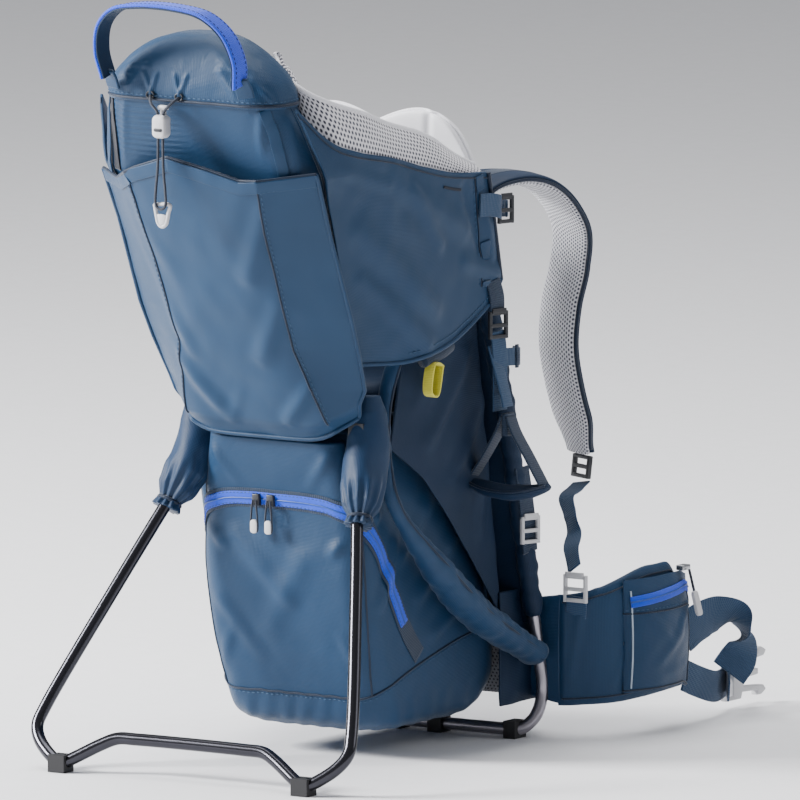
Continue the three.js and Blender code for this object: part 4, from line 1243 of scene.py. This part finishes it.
def make_collar(word, sign):
    grid = wing_face(COLLAR_LOW, COLLAR_HIGH, 200, 40, 6.0, lean=7.0)
    wrap = 1 - smooth(np.linspace(0, 1, 200)[:, None] / 0.24)
    behind_head = grid * Z_AXIS + (54, -266, 8)
    grid = mirror(mixed(grid, behind_head, wrap[..., None]), sign)
    across = np.linspace(0, 1, 40)[None]
    roll = 5.5 * np.sin(np.pi * across) ** 0.8
    grid = grid + roll[..., None] * (sign, 0, 0)
    wavy = 1.6 * np.sin(np.linspace(0, 19, 200))[:, None] * across ** 2
    grid = grid + wavy[..., None] * (sign, 0, 0.5)
    collar = shell(f"collar_{word}", grid, 4.0, MESH, inward=(-sign, 0, 0))
    put(collar, "carrier", f"mesh_collar_{word}", slot="mesh_fabric")
    stretched_cloth(collar, grid, f"wing_{word}")
    edge = resample(grid[:, -1], 200) - np.array([sign * 1.6, 0, 0])
    put(tube(f"collar_rim_{word}", edge, 2.6, PALE_PAD, 12), "carrier", slot="mesh_fabric")


def make_chin_pad():
    u, v = axes(-1, 120, 60)
    top = 586 + 16 * np.sin(np.pi * np.abs(u) + 0.1) - 46 * np.abs(u) ** 6
    z = mixed(512, top, v)
    swell = 5 * np.sin(np.pi * v) ** 0.5 * (1 - np.abs(u) ** 6)
    pinch = -2.4 * bump(np.abs(u), 0.55, 0.035)
    front = np.stack([u * 112 + 0 * v, mixed(2, -4, v) + swell + pinch, z], axis=2)
    back = front - np.stack([0 * z, 13 + 1.9 * (swell + pinch), 0 * z], axis=2)
    rings = np.concatenate([front, back[:, ::-1]], axis=1)
    pad = lofted("chin_pad_cover", rings, PALE_PAD)
    push(pad, lambda p: 0.7 * lumps(p, 26, 8.0))
    put(pad, "carrier", "chin_pad", slot="mesh_fabric", fill=0.7)
    rim = front[:, -1] + np.array([0, -6, 0.8])
    put(tube("chin_pad_piping", resample(rim, 160), 1.6, PALE_PAD, 10), "carrier", slot="mesh_fabric")
    for k, side in enumerate((-1, 1)):
        line = [(side * 62, 8, z) for z in np.linspace(524, 590, 40)]
        seam_on(pad, f"chin_pad_seam_{k}", np.array(line, float), "carrier", PALE_PAD, 0.8, 2.4)


# ---- Shoulder harness ----

STRAP_HALF = [
    (58, 26, 502), (66, 46, 523), (80, 84, 530), (92, 120, 522), (98, 153, 499), (100, 172, 470),
    (100, 168, 438), (101, 152, 402), (103, 144, 365), (106, 150, 326), (110, 162, 286), (112, 169, 262),
]


def strap_frames(sign, count):
    route = curve(mirror(STRAP_HALF, sign), count)
    t = np.linspace(0, 1, count)
    turn = np.radians(24 * smooth(t * 2.4))
    side = np.stack([np.cos(turn), -sign * np.sin(turn), 0 * turn], axis=1)
    return (route, t) + held(route, side)


def strap_taper(t):
    """Share of the full width along the strap, which narrows at both ends."""
    return 0.62 + 0.38 * np.minimum(smooth(t / 0.08), smooth((1 - t) / 0.1))


def strap_layer(name, sign, width, depth, shift, material):
    """A lens-shaped layer of the strap; shift moves it towards the wearer (below 0) or away."""
    route, t, _, side, normal = strap_frames(sign, 200)
    section = 0.5 * signed_power(around(44)[1], (0.75, 0.9))
    wide = (width * strap_taper(t))[:, None]
    grid = route[:, None] + side[:, None] * (section[:, 0][None] * wide)[..., None]
    grid = grid + normal[:, None] * (section[:, 1] * depth + shift)[None, :, None]
    return lofted(name, grid, material)


def make_straps():
    for word, sign in SIDES:
        route, t, _, side, normal = strap_frames(sign, 200)
        inner = -1 if normal[120][1] > 0 else 1
        outer_layer = strap_layer(f"strap_cover_{word}", sign, 61, 8, -inner * 2.6, SHADED_FABRIC)
        put(outer_layer, "harness", f"shoulder_strap_{word}", slot="fabric", fill=0.8)
        mesh_layer = strap_layer(f"strap_mesh_{word}", sign, 58, 8, inner * 2.4, FINE_MESH)
        put(mesh_layer, "harness", slot="mesh_fabric", fill=0.8)
        for k, edge in enumerate((-1, 1)):
            line = route + side * (edge * 30.2 * strap_taper(t))[:, None]
            piping = tube(f"strap_piping_{word}_{k}", line[2:-2], 1.7, PIPING, 10)
            put(piping, "harness", slot="dark_fabric")
        middle = route + normal * (-inner * 6.0)
        band = webbing(f"strap_spine_{word}", middle[18:-8], 20, 1.8, DARK_WEBBING, side[18:-8])
        put(band, "harness", slot="webbing")
        lock = moulded(f"strap_ladder_lock_{word}", f"strap_lock_{word}", DARK_PLASTIC, 1.0)
        put(lock, "harness", f"strap_lock_{word}", slot="dark_plastic")
        make_strap_webbing(word, sign)


def make_strap_webbing(word, sign):
    points = [
        (115, 166, 232), (117, 152, 228), (122, 130, 222), (131, 121, 208), (138, 116, 193),
        (149, 96, 179), (159, 85, 163),
    ]
    route = curve(mirror(points, sign), 90)
    band = webbing(f"strap_tail_{word}", route, 19, 1.8, WEBBING, (0.92, -sign * 0.4, 0))
    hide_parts(f"strap_webbing_{word}")
    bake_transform(band)
    place = mirror((161, 84, 144), sign)
    anchor = ladder_lock(f"strap_anchor_{word}", place, X_AXIS, Z_AXIS, "carrier", 26, 26)
    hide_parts(f"webbing_anchor_{word}")
    tab = curve(mirror([(161, 86, 136), (158, 90, 124), (154, 95, 112)], sign), 30)
    tab = webbing(f"strap_anchor_tab_{word}", tab, 20, 2, WEBBING, (1, 0.3 * sign, 0))
    put(tab, "carrier", slot="webbing")


# ---- Hip belt ----

FIN_ROUTE = [(138, 90, 88), (153, 97, 90), (173, 114, 93), (184, 145, 95), (187, 185, 96), (184, 236, 96)]


def fin_frames(sign, count):
    route = curve(mirror(FIN_ROUTE, sign), count)
    way = unit(np.gradient(route, axis=0))
    outward = unit(np.stack([way[:, 1], -way[:, 0], 0 * way[:, 0]], axis=1)) * sign
    return route, outward


def fin_shape(sign, out, t, v, count=240):
    """Points beside the belt fin at shares t along it and v up it, out millimetres from its middle."""
    route, outward = fin_frames(sign, count)
    at = np.clip(t, 0, 1) * (count - 1)
    steps = np.arange(count)
    centre = np.stack([np.interp(at, steps, route[:, k]) for k in range(3)], axis=-1)
    away = np.stack([np.interp(at, steps, outward[:, k]) for k in range(3)], axis=-1)
    low = mixed(30, 36, t)
    high = mixed(136, 158, smooth(t * 1.6)) - 30 * smooth((t - 0.78) / 0.22)
    points = centre + away * np.asarray(out)[..., None]
    points[..., 2] = mixed(low, high, v)
    return points


def fin_creases(points):
    lines = []
    for s in (1, -1):
        lines += [
            ((150 * s, 92, 60), (160 * s, 98, 126), 6, 2.0),
            ((164 * s, 104, 44), (172 * s, 112, 92), 6, 1.8),
            ((178 * s, 118, 50), (184, 130, 80), 6, 1.4),
            ((154 * s, 96, 110), (170 * s, 108, 140), 6, 1.6),
        ]
    return folds(points, lines) + 0.5 * lumps(points, 22, 5.0)


def make_fins():
    for word, sign in SIDES:
        t = np.linspace(0, 1, 150)[:, None]
        a = np.linspace(0, 2 * math.pi, 72, endpoint=False)[None]
        v = 0.5 - 0.5 * np.cos(a) * (1 + 0 * t)
        swell = signed_power(np.sin(a), 0.6)
        narrow = 0.5 + 0.5 * smooth(np.minimum(t / 0.04, (1 - t) / 0.06))
        rings = fin_shape(sign, 7.2 * swell * narrow, t + 0 * a, v)
        fin = lofted(f"hip_fin_cover_{word}", rings, FABRIC)
        push(fin, fin_creases)
        put(fin, f"fin_{word}", f"hip_fin_{word}", slot="fabric", fill=0.75)
        for k, share in enumerate((0.06, 0.94)):
            line = fin_shape(sign, 7.5, np.linspace(0.02, 0.97, 120), np.full(120, share))
            seam_on(fin, f"hip_fin_seam_{word}_{k}", line, f"fin_{word}", radius=0.9, stitch=0)
        make_fin_lining(word, sign)
        make_hip_strap(word, sign)
    make_hip_pocket()


def make_fin_lining(word, sign):
    t = np.linspace(0.04, 0.94, 110)[:, None]
    v = np.linspace(0.1, 0.9, 40)[None]
    swell = np.sin(np.pi * v) ** 0.4 * np.sin(np.pi * (t - 0.03) / 0.92) ** 0.3
    grid = fin_shape(sign, -5.4 - 3.2 * swell, t + 0 * v, v + 0 * t)
    lining = shell(f"hip_fin_mesh_{word}", grid, 2.4, DARK_MESH, inward=(sign, 0, 0))
    put(lining, f"fin_{word}", slot="mesh_fabric")


POCKET_SPAN = (0.36, 0.955)


def pocket_bulge(t, v):
    u = np.clip((t - POCKET_SPAN[0]) / (POCKET_SPAN[1] - POCKET_SPAN[0]), 0, 1)
    return 6.6 + 16 * np.sin(np.pi * u) ** 0.5 * np.clip(np.cos(np.pi * 0.8 * (v - 0.45)), 0, 1) ** 0.7


def hip_pocket_face(t, v):
    z = mixed(41, 149, v) - 5 * smooth((t - 0.85) / 0.1)
    points = fin_shape(1, pocket_bulge(t, v), t, v)
    points[..., 2] = z
    return points


def make_hip_pocket():
    t = np.linspace(*POCKET_SPAN, 130)[:, None]
    v = np.linspace(0, 1, 90)[None]
    t, v = t + 0 * v, v + 0 * t
    outer = hip_pocket_face(t, v)
    back = fin_shape(1, 7.0 + 0 * t, t, v)
    back[..., 2] = outer[..., 2]
    rings = np.concatenate([outer, back[:, ::-1][:, 1:-1]], axis=1)
    pocket = lofted("hip_pocket_cover", rings, FABRIC)
    lines = [
        ((214, 150, 60), (210, 200, 96), 9, 2.2), ((206, 140, 120), (214, 180, 84), 9, 2.0),
        ((206, 214, 60), (212, 176, 56), 7, 1.6), ((200, 226, 120), (210, 196, 100), 7, 1.8),
        ((208, 150, 134), (212, 196, 128), 5, 1.2),
    ]
    push(pocket, lambda p: folds(p, lines) + 0.6 * lumps(p, 20, 3.0))
    put(pocket, "fin_right", "hip_pocket", slot="fabric", fill=0.6)
    span = np.linspace(POCKET_SPAN[0] + 0.03, POCKET_SPAN[1] - 0.02, 120)
    arch = hip_pocket_face(span, mixed(0.80, 0.88, (span - span[0]) / (span[-1] - span[0])))
    points, out = strip_on(
        pocket, "hip_zip_tape", arch, 0.9, 10.5, 1.6, ACCENT_LIGHT, "fin_right", "accent_webbing",
    )
    put(tube("hip_zip_coil", points + out * 0.9, 0.9, BLUE_TEETH, 8), "fin_right", slot="accent_webbing")
    for k, share in enumerate((0.02, 0.70)):
        line = hip_pocket_face(np.linspace(*POCKET_SPAN, 110), np.full(110, share))
        seam_on(pocket, f"hip_pocket_seam_{k}", line, "fin_right", radius=0.9, stitch=3.0 if k else 0)
    for k, share in enumerate((0.06, 0.95)):
        line = hip_pocket_face(np.full(60, mixed(*POCKET_SPAN, share)), np.linspace(0.04, 0.9, 60))
        # painted highlight: the side seam nearer the frame gets pale piping, the far one stays dark
        material = EDGE_HIGHLIGHT if k == 0 else PIPING
        seam_on(pocket, f"hip_pocket_side_{k}", line, "fin_right", material, 0.9, 0)
    slider = moulded("hip_zip_slider_body", "hip_zip_slider", STEEL, 1.2)
    put(slider, "hip_slider", "hip_zip_slider", slot="steel")
    x, y, z = 206.6, 212, 150.5
    lean = np.array([math.sin(0.27), 0, -math.cos(0.27)])
    drop = np.array([x, y, z]) + lean[None] * np.linspace(0, 30, 12)[:, None]
    loop = tube("hip_pull_cord", drop, 1.3, CORD, 10)
    put(loop, "hip_pull", "hip_zip_pull", slot="pale_plastic")
    place = np.array([x, y, z]) + lean * 33
    grip = slab("hip_pull_grip", rounded(8, 24, 3, 6), 3.6, place, Y_AXIS, lean, PALE_PLASTIC)
    put(grip, "hip_pull", slot="pale_plastic")


def make_hip_strap(word, sign):
    """The wide belt webbing loops forward from the fin and down to its half of the buckle."""
    body = f"fin_{word}"
    points = [
        (184, 240, 84), (187, 258, 92), (190, 286, 96), (195, 312, 90), (198, 322, 72),
        (196, 318, 54), (190, 308, 38),
    ]
    route = curve(mirror(points, sign), 120)
    t = np.linspace(0, 1, 120)
    turn = np.sin(np.pi * np.clip(t * 1.1, 0, 1)) ** 2
    side = np.stack([0.1 * sign * turn, -0.75 * turn, 1 - 0.5 * turn], axis=1)
    band = webbing(f"hip_webbing_band_{word}", route, 40, 2.2, WEBBING, side)
    put(band, body, f"hip_webbing_{word}", slot="webbing")
    kind = "male" if sign > 0 else "female"
    buckle = moulded(f"belt_buckle_{kind}", f"buckle_{kind}", PALE_PLASTIC, 1.4, 4)
    put(buckle, body, f"buckle_{kind}", slot="pale_plastic")
    keeper = curve(mirror([(190, 308, 40), (186, 313, 31), (181, 319, 22)], sign), 30)
    put(webbing(f"buckle_fold_{word}", keeper, 36, 2, WEBBING, (0.1, -0.1, 1)), body, slot="webbing")
    lower = [(178, 324, 30), (183, 306, 27), (188, 284, 28), (187, 258, 36), (185, 238, 44)]
    strap = webbing(f"belt_return_{word}", curve(mirror(lower, sign), 70), 30, 2, WEBBING, Z_AXIS)
    put(strap, body, slot="webbing")


# ---- Foot stirrups ----

def make_stirrups():
    for word, sign in SIDES:
        body = f"stirrup_loop_{word}"
        cx, cy, top = 145 * sign, -9, 322
        for k, reach in enumerate((-1, 1)):
            rail = [
                (cx + reach * 3, cy, top - 4), (cx + reach * 9, cy, top - 18),
                (cx + reach * 24, cy + 1, top - 42), (cx + reach * 40, cy, top - 66),
            ]
            way = curve(rail, 50)
            name = f"stirrup_rail_{word}_{k}"
            put(webbing(name, way, 17, 2.4, DARK_WEBBING, Y_AXIS), body, slot="webbing")
        u = np.linspace(-1, 1, 70)[:, None]
        a = np.linspace(0, 2 * math.pi, 48, endpoint=False)[None]
        wide = 15 * (1 - 0.6 * np.abs(u) ** 3)
        deep = 7.5 * (1 - 0.5 * np.abs(u) ** 3)
        x = cx + 45 * u + 0 * a
        y = cy + wide * np.cos(a)
        z = top - 70 + 8 * u ** 2 - 6 + deep * np.sin(a) - 3 * np.sin(a).clip(0) * np.cos(a) ** 2
        bed = lofted(f"stirrup_bed_{word}", np.stack([x, y, z + 0 * x], axis=2), SHADED_FABRIC)
        push(bed, lambda p: 0.6 * lumps(p, 16, 2.0))
        put(bed, body, f"stirrup_{word}", slot="webbing", fill=0.8)
        s = np.linspace(-1, 1, 40)
        rim = np.stack([cx + 45 * s, cy - 15 * (1 - 0.6 * np.abs(s) ** 3), top - 74 + 8 * s * s], axis=1)
        put(tube(f"stirrup_piping_{word}", curve(rim, 80), 1.3, PIPING, 10), body, slot="dark_fabric")
        knot = curve([(cx, cy, top - 1), (cx, cy, top - 7), (cx, cy, top - 22)], 24)
        put(webbing(f"stirrup_top_{word}", knot, 17, 7, DARK_WEBBING, Y_AXIS), body, slot="webbing")
        hang = curve([(cx, cy, top + 5), (cx - 4 * sign, cy, top + 20), (cx - 17 * sign, cy, top + 62)], 40)
        put(webbing(f"stirrup_hanger_{word}", hang, 17, 2.2, WEBBING, Y_AXIS), "carrier", slot="webbing")


# ---- Back pads, seat and head rest ----

def cushion(name, half_at, y_back, thick, low, high, material, channels=(), columns=110, rows=130):
    """A pad against the frame: flat behind, crowned in front, pressed in along channels."""
    u, v = axes(-1, columns, rows)
    z = mixed(low, high, v) + 0 * u
    half = half_at(v)
    near = np.minimum(1 - np.abs(u), 2 * np.minimum(v, 1 - v))
    edge = np.clip(near / 0.22, 0, 1)
    crown = thick * np.sqrt(np.clip(1 - (1 - edge) ** 2, 0, 1))
    for kind, place, width, depth in channels:
        across = u * half if kind == "x" else z
        crown = crown * (1 - depth * bump(across, place, width))
    corner = 1 - 0.12 * np.clip(np.abs(2 * v - 1) - 0.8, 0, 1) ** 2 * 12
    front = np.stack([u * half * corner, y_back(z) + crown, z], axis=2)
    back = np.stack([u * half * corner, y_back(z) - 0.3 + 0 * z, z], axis=2)
    return lofted(name, np.concatenate([front, back[:, ::-1]], axis=1), material)


def make_back():
    rear = lambda z: frame_y(z) + 7
    channels = [("x", x, 3.0, 0.34) for x in (-36, 36)] + [("z", z, 3.0, 0.3) for z in (214, 300, 388)]
    pad = cushion("back_pad_mesh", lambda v: 100 + 0 * v, rear, 20, 136, 470, DARK_MESH, channels)
    put(pad, "carrier", "back_pad", slot="mesh_fabric", fill=0.7)
    channels = [("x", x, 3.0, 0.3) for x in (-52, 0, 52)]
    lumbar = cushion("lumbar_pad_mesh", lambda v: 106 + 0 * v, rear, 28, 36, 130, DARK_MESH, channels)
    put(lumbar, "carrier", "lumbar_pad", slot="mesh_fabric", fill=0.85)
    yoke = cushion(
        "shoulder_yoke_cover", lambda v: mixed(46, 78, v), lambda z: rear(z) + 21, 12, 420, 489,
        SHADED_FABRIC, [("x", 0, 3, 0.3)], 70, 50,
    )
    put(yoke, "harness", "shoulder_yoke", slot="dark_fabric", fill=0.7)
    u, v = axes(-1, 80, 110)
    z = mixed(110, 488, v) + 0 * u
    x = u * mixed(118, 96, smooth((v - 0.75) * 4))
    y = frame_y(z) - 3 + 1.6 * np.sin(np.pi * v * 3) * (1 - u ** 2)
    grid = np.stack([x, y, z], axis=2)
    panel = shell("back_panel_cloth", grid, 2.2, SHADED_FABRIC, inward=Y_AXIS)
    put(panel, "carrier", slot="dark_fabric")
    stretched_cloth(panel, grid, "back_pad_mesh")


def make_inside():
    seat = lofted("child_seat_pad", ring_stack([
        (330, 58, -118, -20, 26), (333, 66, -127, -11, 28), (344, 71, -131, -7, 28),
        (354, 66, -127, -11, 26), (358, 48, -112, -26, 22), (358.4, 20, -84, -54, 12),
    ], 40, 160), SHADED_FABRIC)
    push(seat, lambda p: 0.9 * lumps(p, 24, 1.0))
    put(seat, "seat", "child_seat", slot="dark_fabric", fill=0.8)
    u, v = axes(-1, 110, 80)
    edge = np.clip(np.minimum(1 - np.abs(u), 2 * np.minimum(v, 1 - v)) / 0.3, 0, 1)
    crown = 15 * np.sqrt(np.clip(1 - (1 - edge) ** 2, 0, 1))
    crown = crown * (1 - 0.3 * bump(np.abs(u), 0.45, 0.05))
    z = mixed(575, 690 - 20 * u ** 2, v)
    y = mixed(-236, -262, v)
    wide = u * mixed(92, 60, v * v)
    front = np.stack([wide, y + 0.4 + crown, z], axis=2)
    back = np.stack([wide, y + 0 * u, z], axis=2)
    rest = lofted("headrest_cushion", np.concatenate([front, back[:, ::-1]], axis=1), MESH)
    put(rest, "carrier", "headrest_pad", slot="mesh_fabric", fill=0.7)


# ---- Gathered boots over the kickstand hinges, and the yellow loop ----

BOOT_ROUTE = [
    (92, -166, 352), (93, -168, 330), (94, -172, 306), (95, -180, 286), (101, -192, 262),
    (106.5, -205, 242), (108, -209, 235),
]
BOOT_SHARES = (0, 0.12, 0.3, 0.5, 0.68, 0.84, 0.93, 1.0)
BOOT_RADII = (10, 16, 20, 21.5, 21.5, 17, 10.5, 13)
ELASTIC_RADIUS = 11


def make_boots():
    for word, sign in SIDES:
        route = curve(mirror(BOOT_ROUTE, sign), 90)
        t = np.linspace(0, 1, 90)
        radius = np.interp(t, BOOT_SHARES, BOOT_RADII)
        angle, section = around(72)
        gather = 1 + 0.11 * smooth((t - 0.55) / 0.35)[:, None] * np.sin(11 * angle)[None]
        gather += 0.05 * np.sin(3 * angle[None] + 7 * t[:, None]) * smooth(t * 4)[:, None]
        sections = section[None] * (radius[:, None] * gather)[..., None]
        boot = sweep(f"boot_{word}", route, sections, BOOT_CLOTH, X_AXIS)
        push(boot, lambda p: 0.8 * lumps(p, 14, 9.0))
        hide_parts(f"kickstand_boot_{word}")
        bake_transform(boot)
        way = unit(route[89] - route[80])
        side = unit(np.cross(way, Y_AXIS))
        up = np.cross(way, side)
        turn = np.linspace(0, 2 * math.pi, 40)[:, None]
        ring = route[84] + ELASTIC_RADIUS * (side * np.cos(turn) + up * np.sin(turn))
        band = tube(f"boot_elastic_{word}", ring, 1.9, PIPING, 10, side=way)
        put(band, "kickstand", slot="dark_fabric")


def make_yellow_loop():
    outline = [
        (-92, 374), (-99, 377.5), (-106, 377), (-112, 352), (-108, 347.5), (-101, 347), (-93, 372),
        (-92, 374),
    ]
    route = curve([(122, y, z) for y, z in outline], 90)
    loop = webbing("yellow_loop_band", route, 11, 1.8, YELLOW, X_AXIS)
    put(loop, "yellow_loop", "yellow_pull", slot="yellow_webbing")
    roll = curve([(116, -112, 380), (118, -98, 383), (119, -84, 386), (118, -70, 390)], 50)
    put(tube("loop_roll", roll, 6.5, DARK_WEBBING, 20), "carrier", slot="webbing")


# ---- Fabric that joins the pieces: side panels, frame sleeves, belt roots ----

def make_side_panels():
    """The child's compartment is closed at each side by cloth between the bag, the frame and the wing."""
    for word, sign in SIDES:
        low = curve([(-140, 300), (-90, 262), (-30, 200), (40, 118)], 110)
        high = curve([(-112, 400), (-60, 414), (-10, 446)], 110)
        a, b = axes(0, 110, 90)
        flat = mixed(low[:, None], high[:, None], b[..., None])
        y, z = flat[..., 0], flat[..., 1]
        x = sign * (106 + 4 * np.sin(np.pi * a) * np.sin(np.pi * b) - 8 * smooth((0.25 - a) / 0.25))
        grid = np.stack([x, y, z], axis=2)
        # This cloth sits in the recess under the wing; its darker colour is painted shade.
        panel = shell(f"side_panel_{word}", grid, 1.8, SHADED_FABRIC, inward=(-sign, 0, 0))
        lines = [
            ((112 * sign, -90, 300), (114 * sign, -20, 380), 12, 4.0),
            ((112 * sign, -50, 260), (114 * sign, 10, 330), 12, 3.6),
            ((112 * sign, 0, 200), (114 * sign, 20, 300), 10, 3.2),
            ((112 * sign, -110, 330), (114 * sign, -70, 400), 9, 3.0),
        ]
        sheet_signs(panel, lambda p: folds(p, lines) + 1.6 * lumps(p, 34, 2.0))
        put(panel, "carrier", slot="dark_fabric")
        stretched_cloth(panel, grid, f"wing_{word}")
        z = np.linspace(118, 476, 120)
        x = np.interp(z, (118, 180, 300, 420, 470, 480), (122, 121, 118, 112, 106, 101))
        route = mirror(np.stack([x, frame_y(z), z], axis=1), sign)
        radius = 9.5 + 0.8 * np.sin(z * 0.16) + 0.5 * np.sin(z * 0.43)
        radius[:3] = (7.2, 8.2, 9.0)
        radius[-3:] = (9.0, 8.2, 7.2)
        put(tube(f"frame_sleeve_{word}", route, radius, SHADED_FABRIC, 28), "carrier", slot="dark_fabric")


def make_lumbar_sides():
    """Cloth that closes the gap between the bag and the lumbar pad at each side."""
    y = np.linspace(34, 98, 50)[:, None]
    z = np.linspace(34, 142, 70)[None]
    for word, sign in SIDES:
        x = sign * (109 + 2.5 * np.sin(np.pi * (y - 34) / 64) * np.sin(np.pi * (z - 34) / 108))
        grid = np.stack([x, y + 0 * z, z + 0 * y], axis=2)
        panel = shell(f"lumbar_side_{word}", grid, 1.8, SHADED_FABRIC, inward=(-sign, 0, 0))
        sheet_signs(panel, lambda p: 1.3 * lumps(p, 22, 4.0))
        put(panel, "carrier", slot="dark_fabric")
        stretched_cloth(panel, grid, "lumbar_pad_mesh")


def make_belt_roots():
    """Padded cloth that carries each belt fin round the foot of the frame."""
    for word, sign in SIDES:
        route = curve(mirror([(100, 92, 86), (116, 91, 86), (130, 90, 87), (141, 91, 88)], sign), 50)
        height = np.linspace(92, 104, 50)
        a = np.linspace(0, 2 * math.pi, 64, endpoint=False)
        z = -np.cos(a)
        deep = signed_power(np.sin(a), 0.6)
        rings = route[:, None] + np.stack([0 * z, deep * 5.4, 0 * z], axis=1)[None]
        rings[..., 2] = 84 + 0.5 * height[:, None] * z[None]
        root = lofted(f"belt_root_{word}", rings, FABRIC)
        push(root, lambda p: 0.7 * lumps(p, 18, 6.0))
        put(root, "carrier", slot="fabric", fill=0.7)
        fin = f"fin_{word}"
        strap = [(143, 104, 61), (147, 106, 62), (154, 109, 62), (168, 122, 64), (178, 136, 66)]
        route = curve(mirror(strap, sign), 60)
        put(webbing(f"belt_adjuster_{word}", route, 20, 2, WEBBING, Z_AXIS), fin, slot="webbing")
        place = mirror((156, 112, 62), sign)
        ladder_lock(f"belt_ladder_{word}", place, (0.8, 0.6 * sign, 0), Z_AXIS, fin, 27, 24)


def ladder_lock(name, centre, across, up, body, width, height, material=PALE_PLASTIC):
    """A three-bar webbing lock: two side rails, three bars, and a lifted tail on the last bar."""
    across, up = unit(np.array(across, float)), unit(np.array(up, float))
    out = np.cross(across, up)
    span = np.linspace(-0.5, 0.5, 12)[:, None]
    pieces = []
    for k, edge in enumerate((-1, 1)):
        rail = centre + across * edge * (width / 2 - 1.8) + up * height * span
        pieces.append(sweep(f"{name}_rail_{k}", rail, rounded(3.6, 4.4, 1.3), material, across))
    for k, place in enumerate((-0.43, -0.02, 0.43)):
        bar = centre + up * place * height + out * (1.0 - abs(place) * 1.5) + across * (width - 2) * span
        pieces.append(sweep(f"{name}_bar_{k}", bar, rounded(3.8, 3.4, 1.2), material, up))
    lip = centre + up * 0.52 * height + out * 1.8 + across * (width - 6) * span
    pieces.append(sweep(f"{name}_lip", lip, rounded(4.6, 2.2, 0.9), material, up))
    slot = "pale_plastic" if material is PALE_PLASTIC else "dark_plastic"
    return put(merge(name, pieces), body, slot=slot)


def side_strap(name, sign, points, width, material=WEBBING, side=Z_AXIS):
    band = webbing(name, curve(mirror(points, sign), 60), width, 2.0, material, side)
    put(band, "carrier", slot="webbing")


def side_lock(name, sign, place, width, material=PALE_PLASTIC):
    across = (0.35 * sign, 0.94, 0)
    ladder_lock(name, mirror(place, sign), across, Z_AXIS, "carrier", width, 26, material)


def make_side_straps():
    """Compression webbings and their locks between the wings and the back frame."""
    along = (0.2, 1, 0)
    for word, sign in SIDES:
        loop = [(131, -36, 520), (133, -20, 519), (134, -6, 516), (130, 2, 513)]
        side_strap(f"wing_strap_loop_{word}", sign, loop, 22)
        side_lock(f"wing_ladder_{word}", sign, (134, 4, 512), 18, DARK_PLASTIC)
        tail = [(131, 10, 512), (122, 24, 510), (106, 30, 508)]
        side_strap(f"wing_strap_tail_{word}", sign, tail, 16)
        drop = [(133, -8, 398), (134, -6, 372), (133, -4, 346), (132, -3, 322)]
        side_strap(f"side_strap_drop_{word}", sign, drop, 19, WEBBING, along)
        side_lock(f"side_ladder_{word}", sign, (134, -9, 404), 22, DARK_PLASTIC)
        top = [(130, -12, 446), (133, -10, 432), (133, -9, 414)]
        side_strap(f"side_strap_top_{word}", sign, top, 19, DARK_WEBBING, along)
        tie = [(132, 0, 372), (134, 16, 371), (130, 34, 369), (112, 52, 367)]
        side_strap(f"frame_strap_{word}", sign, tie, 17)
        keeper = [(135, 22, 382), (136, 22, 371), (135, 22, 360)]
        side_strap(f"frame_strap_keeper_{word}", sign, keeper, 5, DARK_WEBBING, Y_AXIS)
        side_lock(f"lower_ladder_{word}", sign, (132, 50, 202), 22)
        lower = [(126, 44, 262), (129, 46, 236), (130, 50, 208), (128, 56, 180)]
        side_strap(f"lower_strap_{word}", sign, lower, 19, DARK_WEBBING, along)


make_camera()
make_stage()
make_tubes()
make_stand()
make_strut_sleeves()
make_drawcord()
make_bag()
make_compartment()
make_pocket()
make_lid()
make_handle()
make_wings()
make_chin_pad()
make_straps()
make_fins()
make_stirrups()
make_back()
make_inside()
make_boots()
make_yellow_loop()
make_side_panels()
make_lumbar_sides()
make_belt_roots()
make_side_straps()
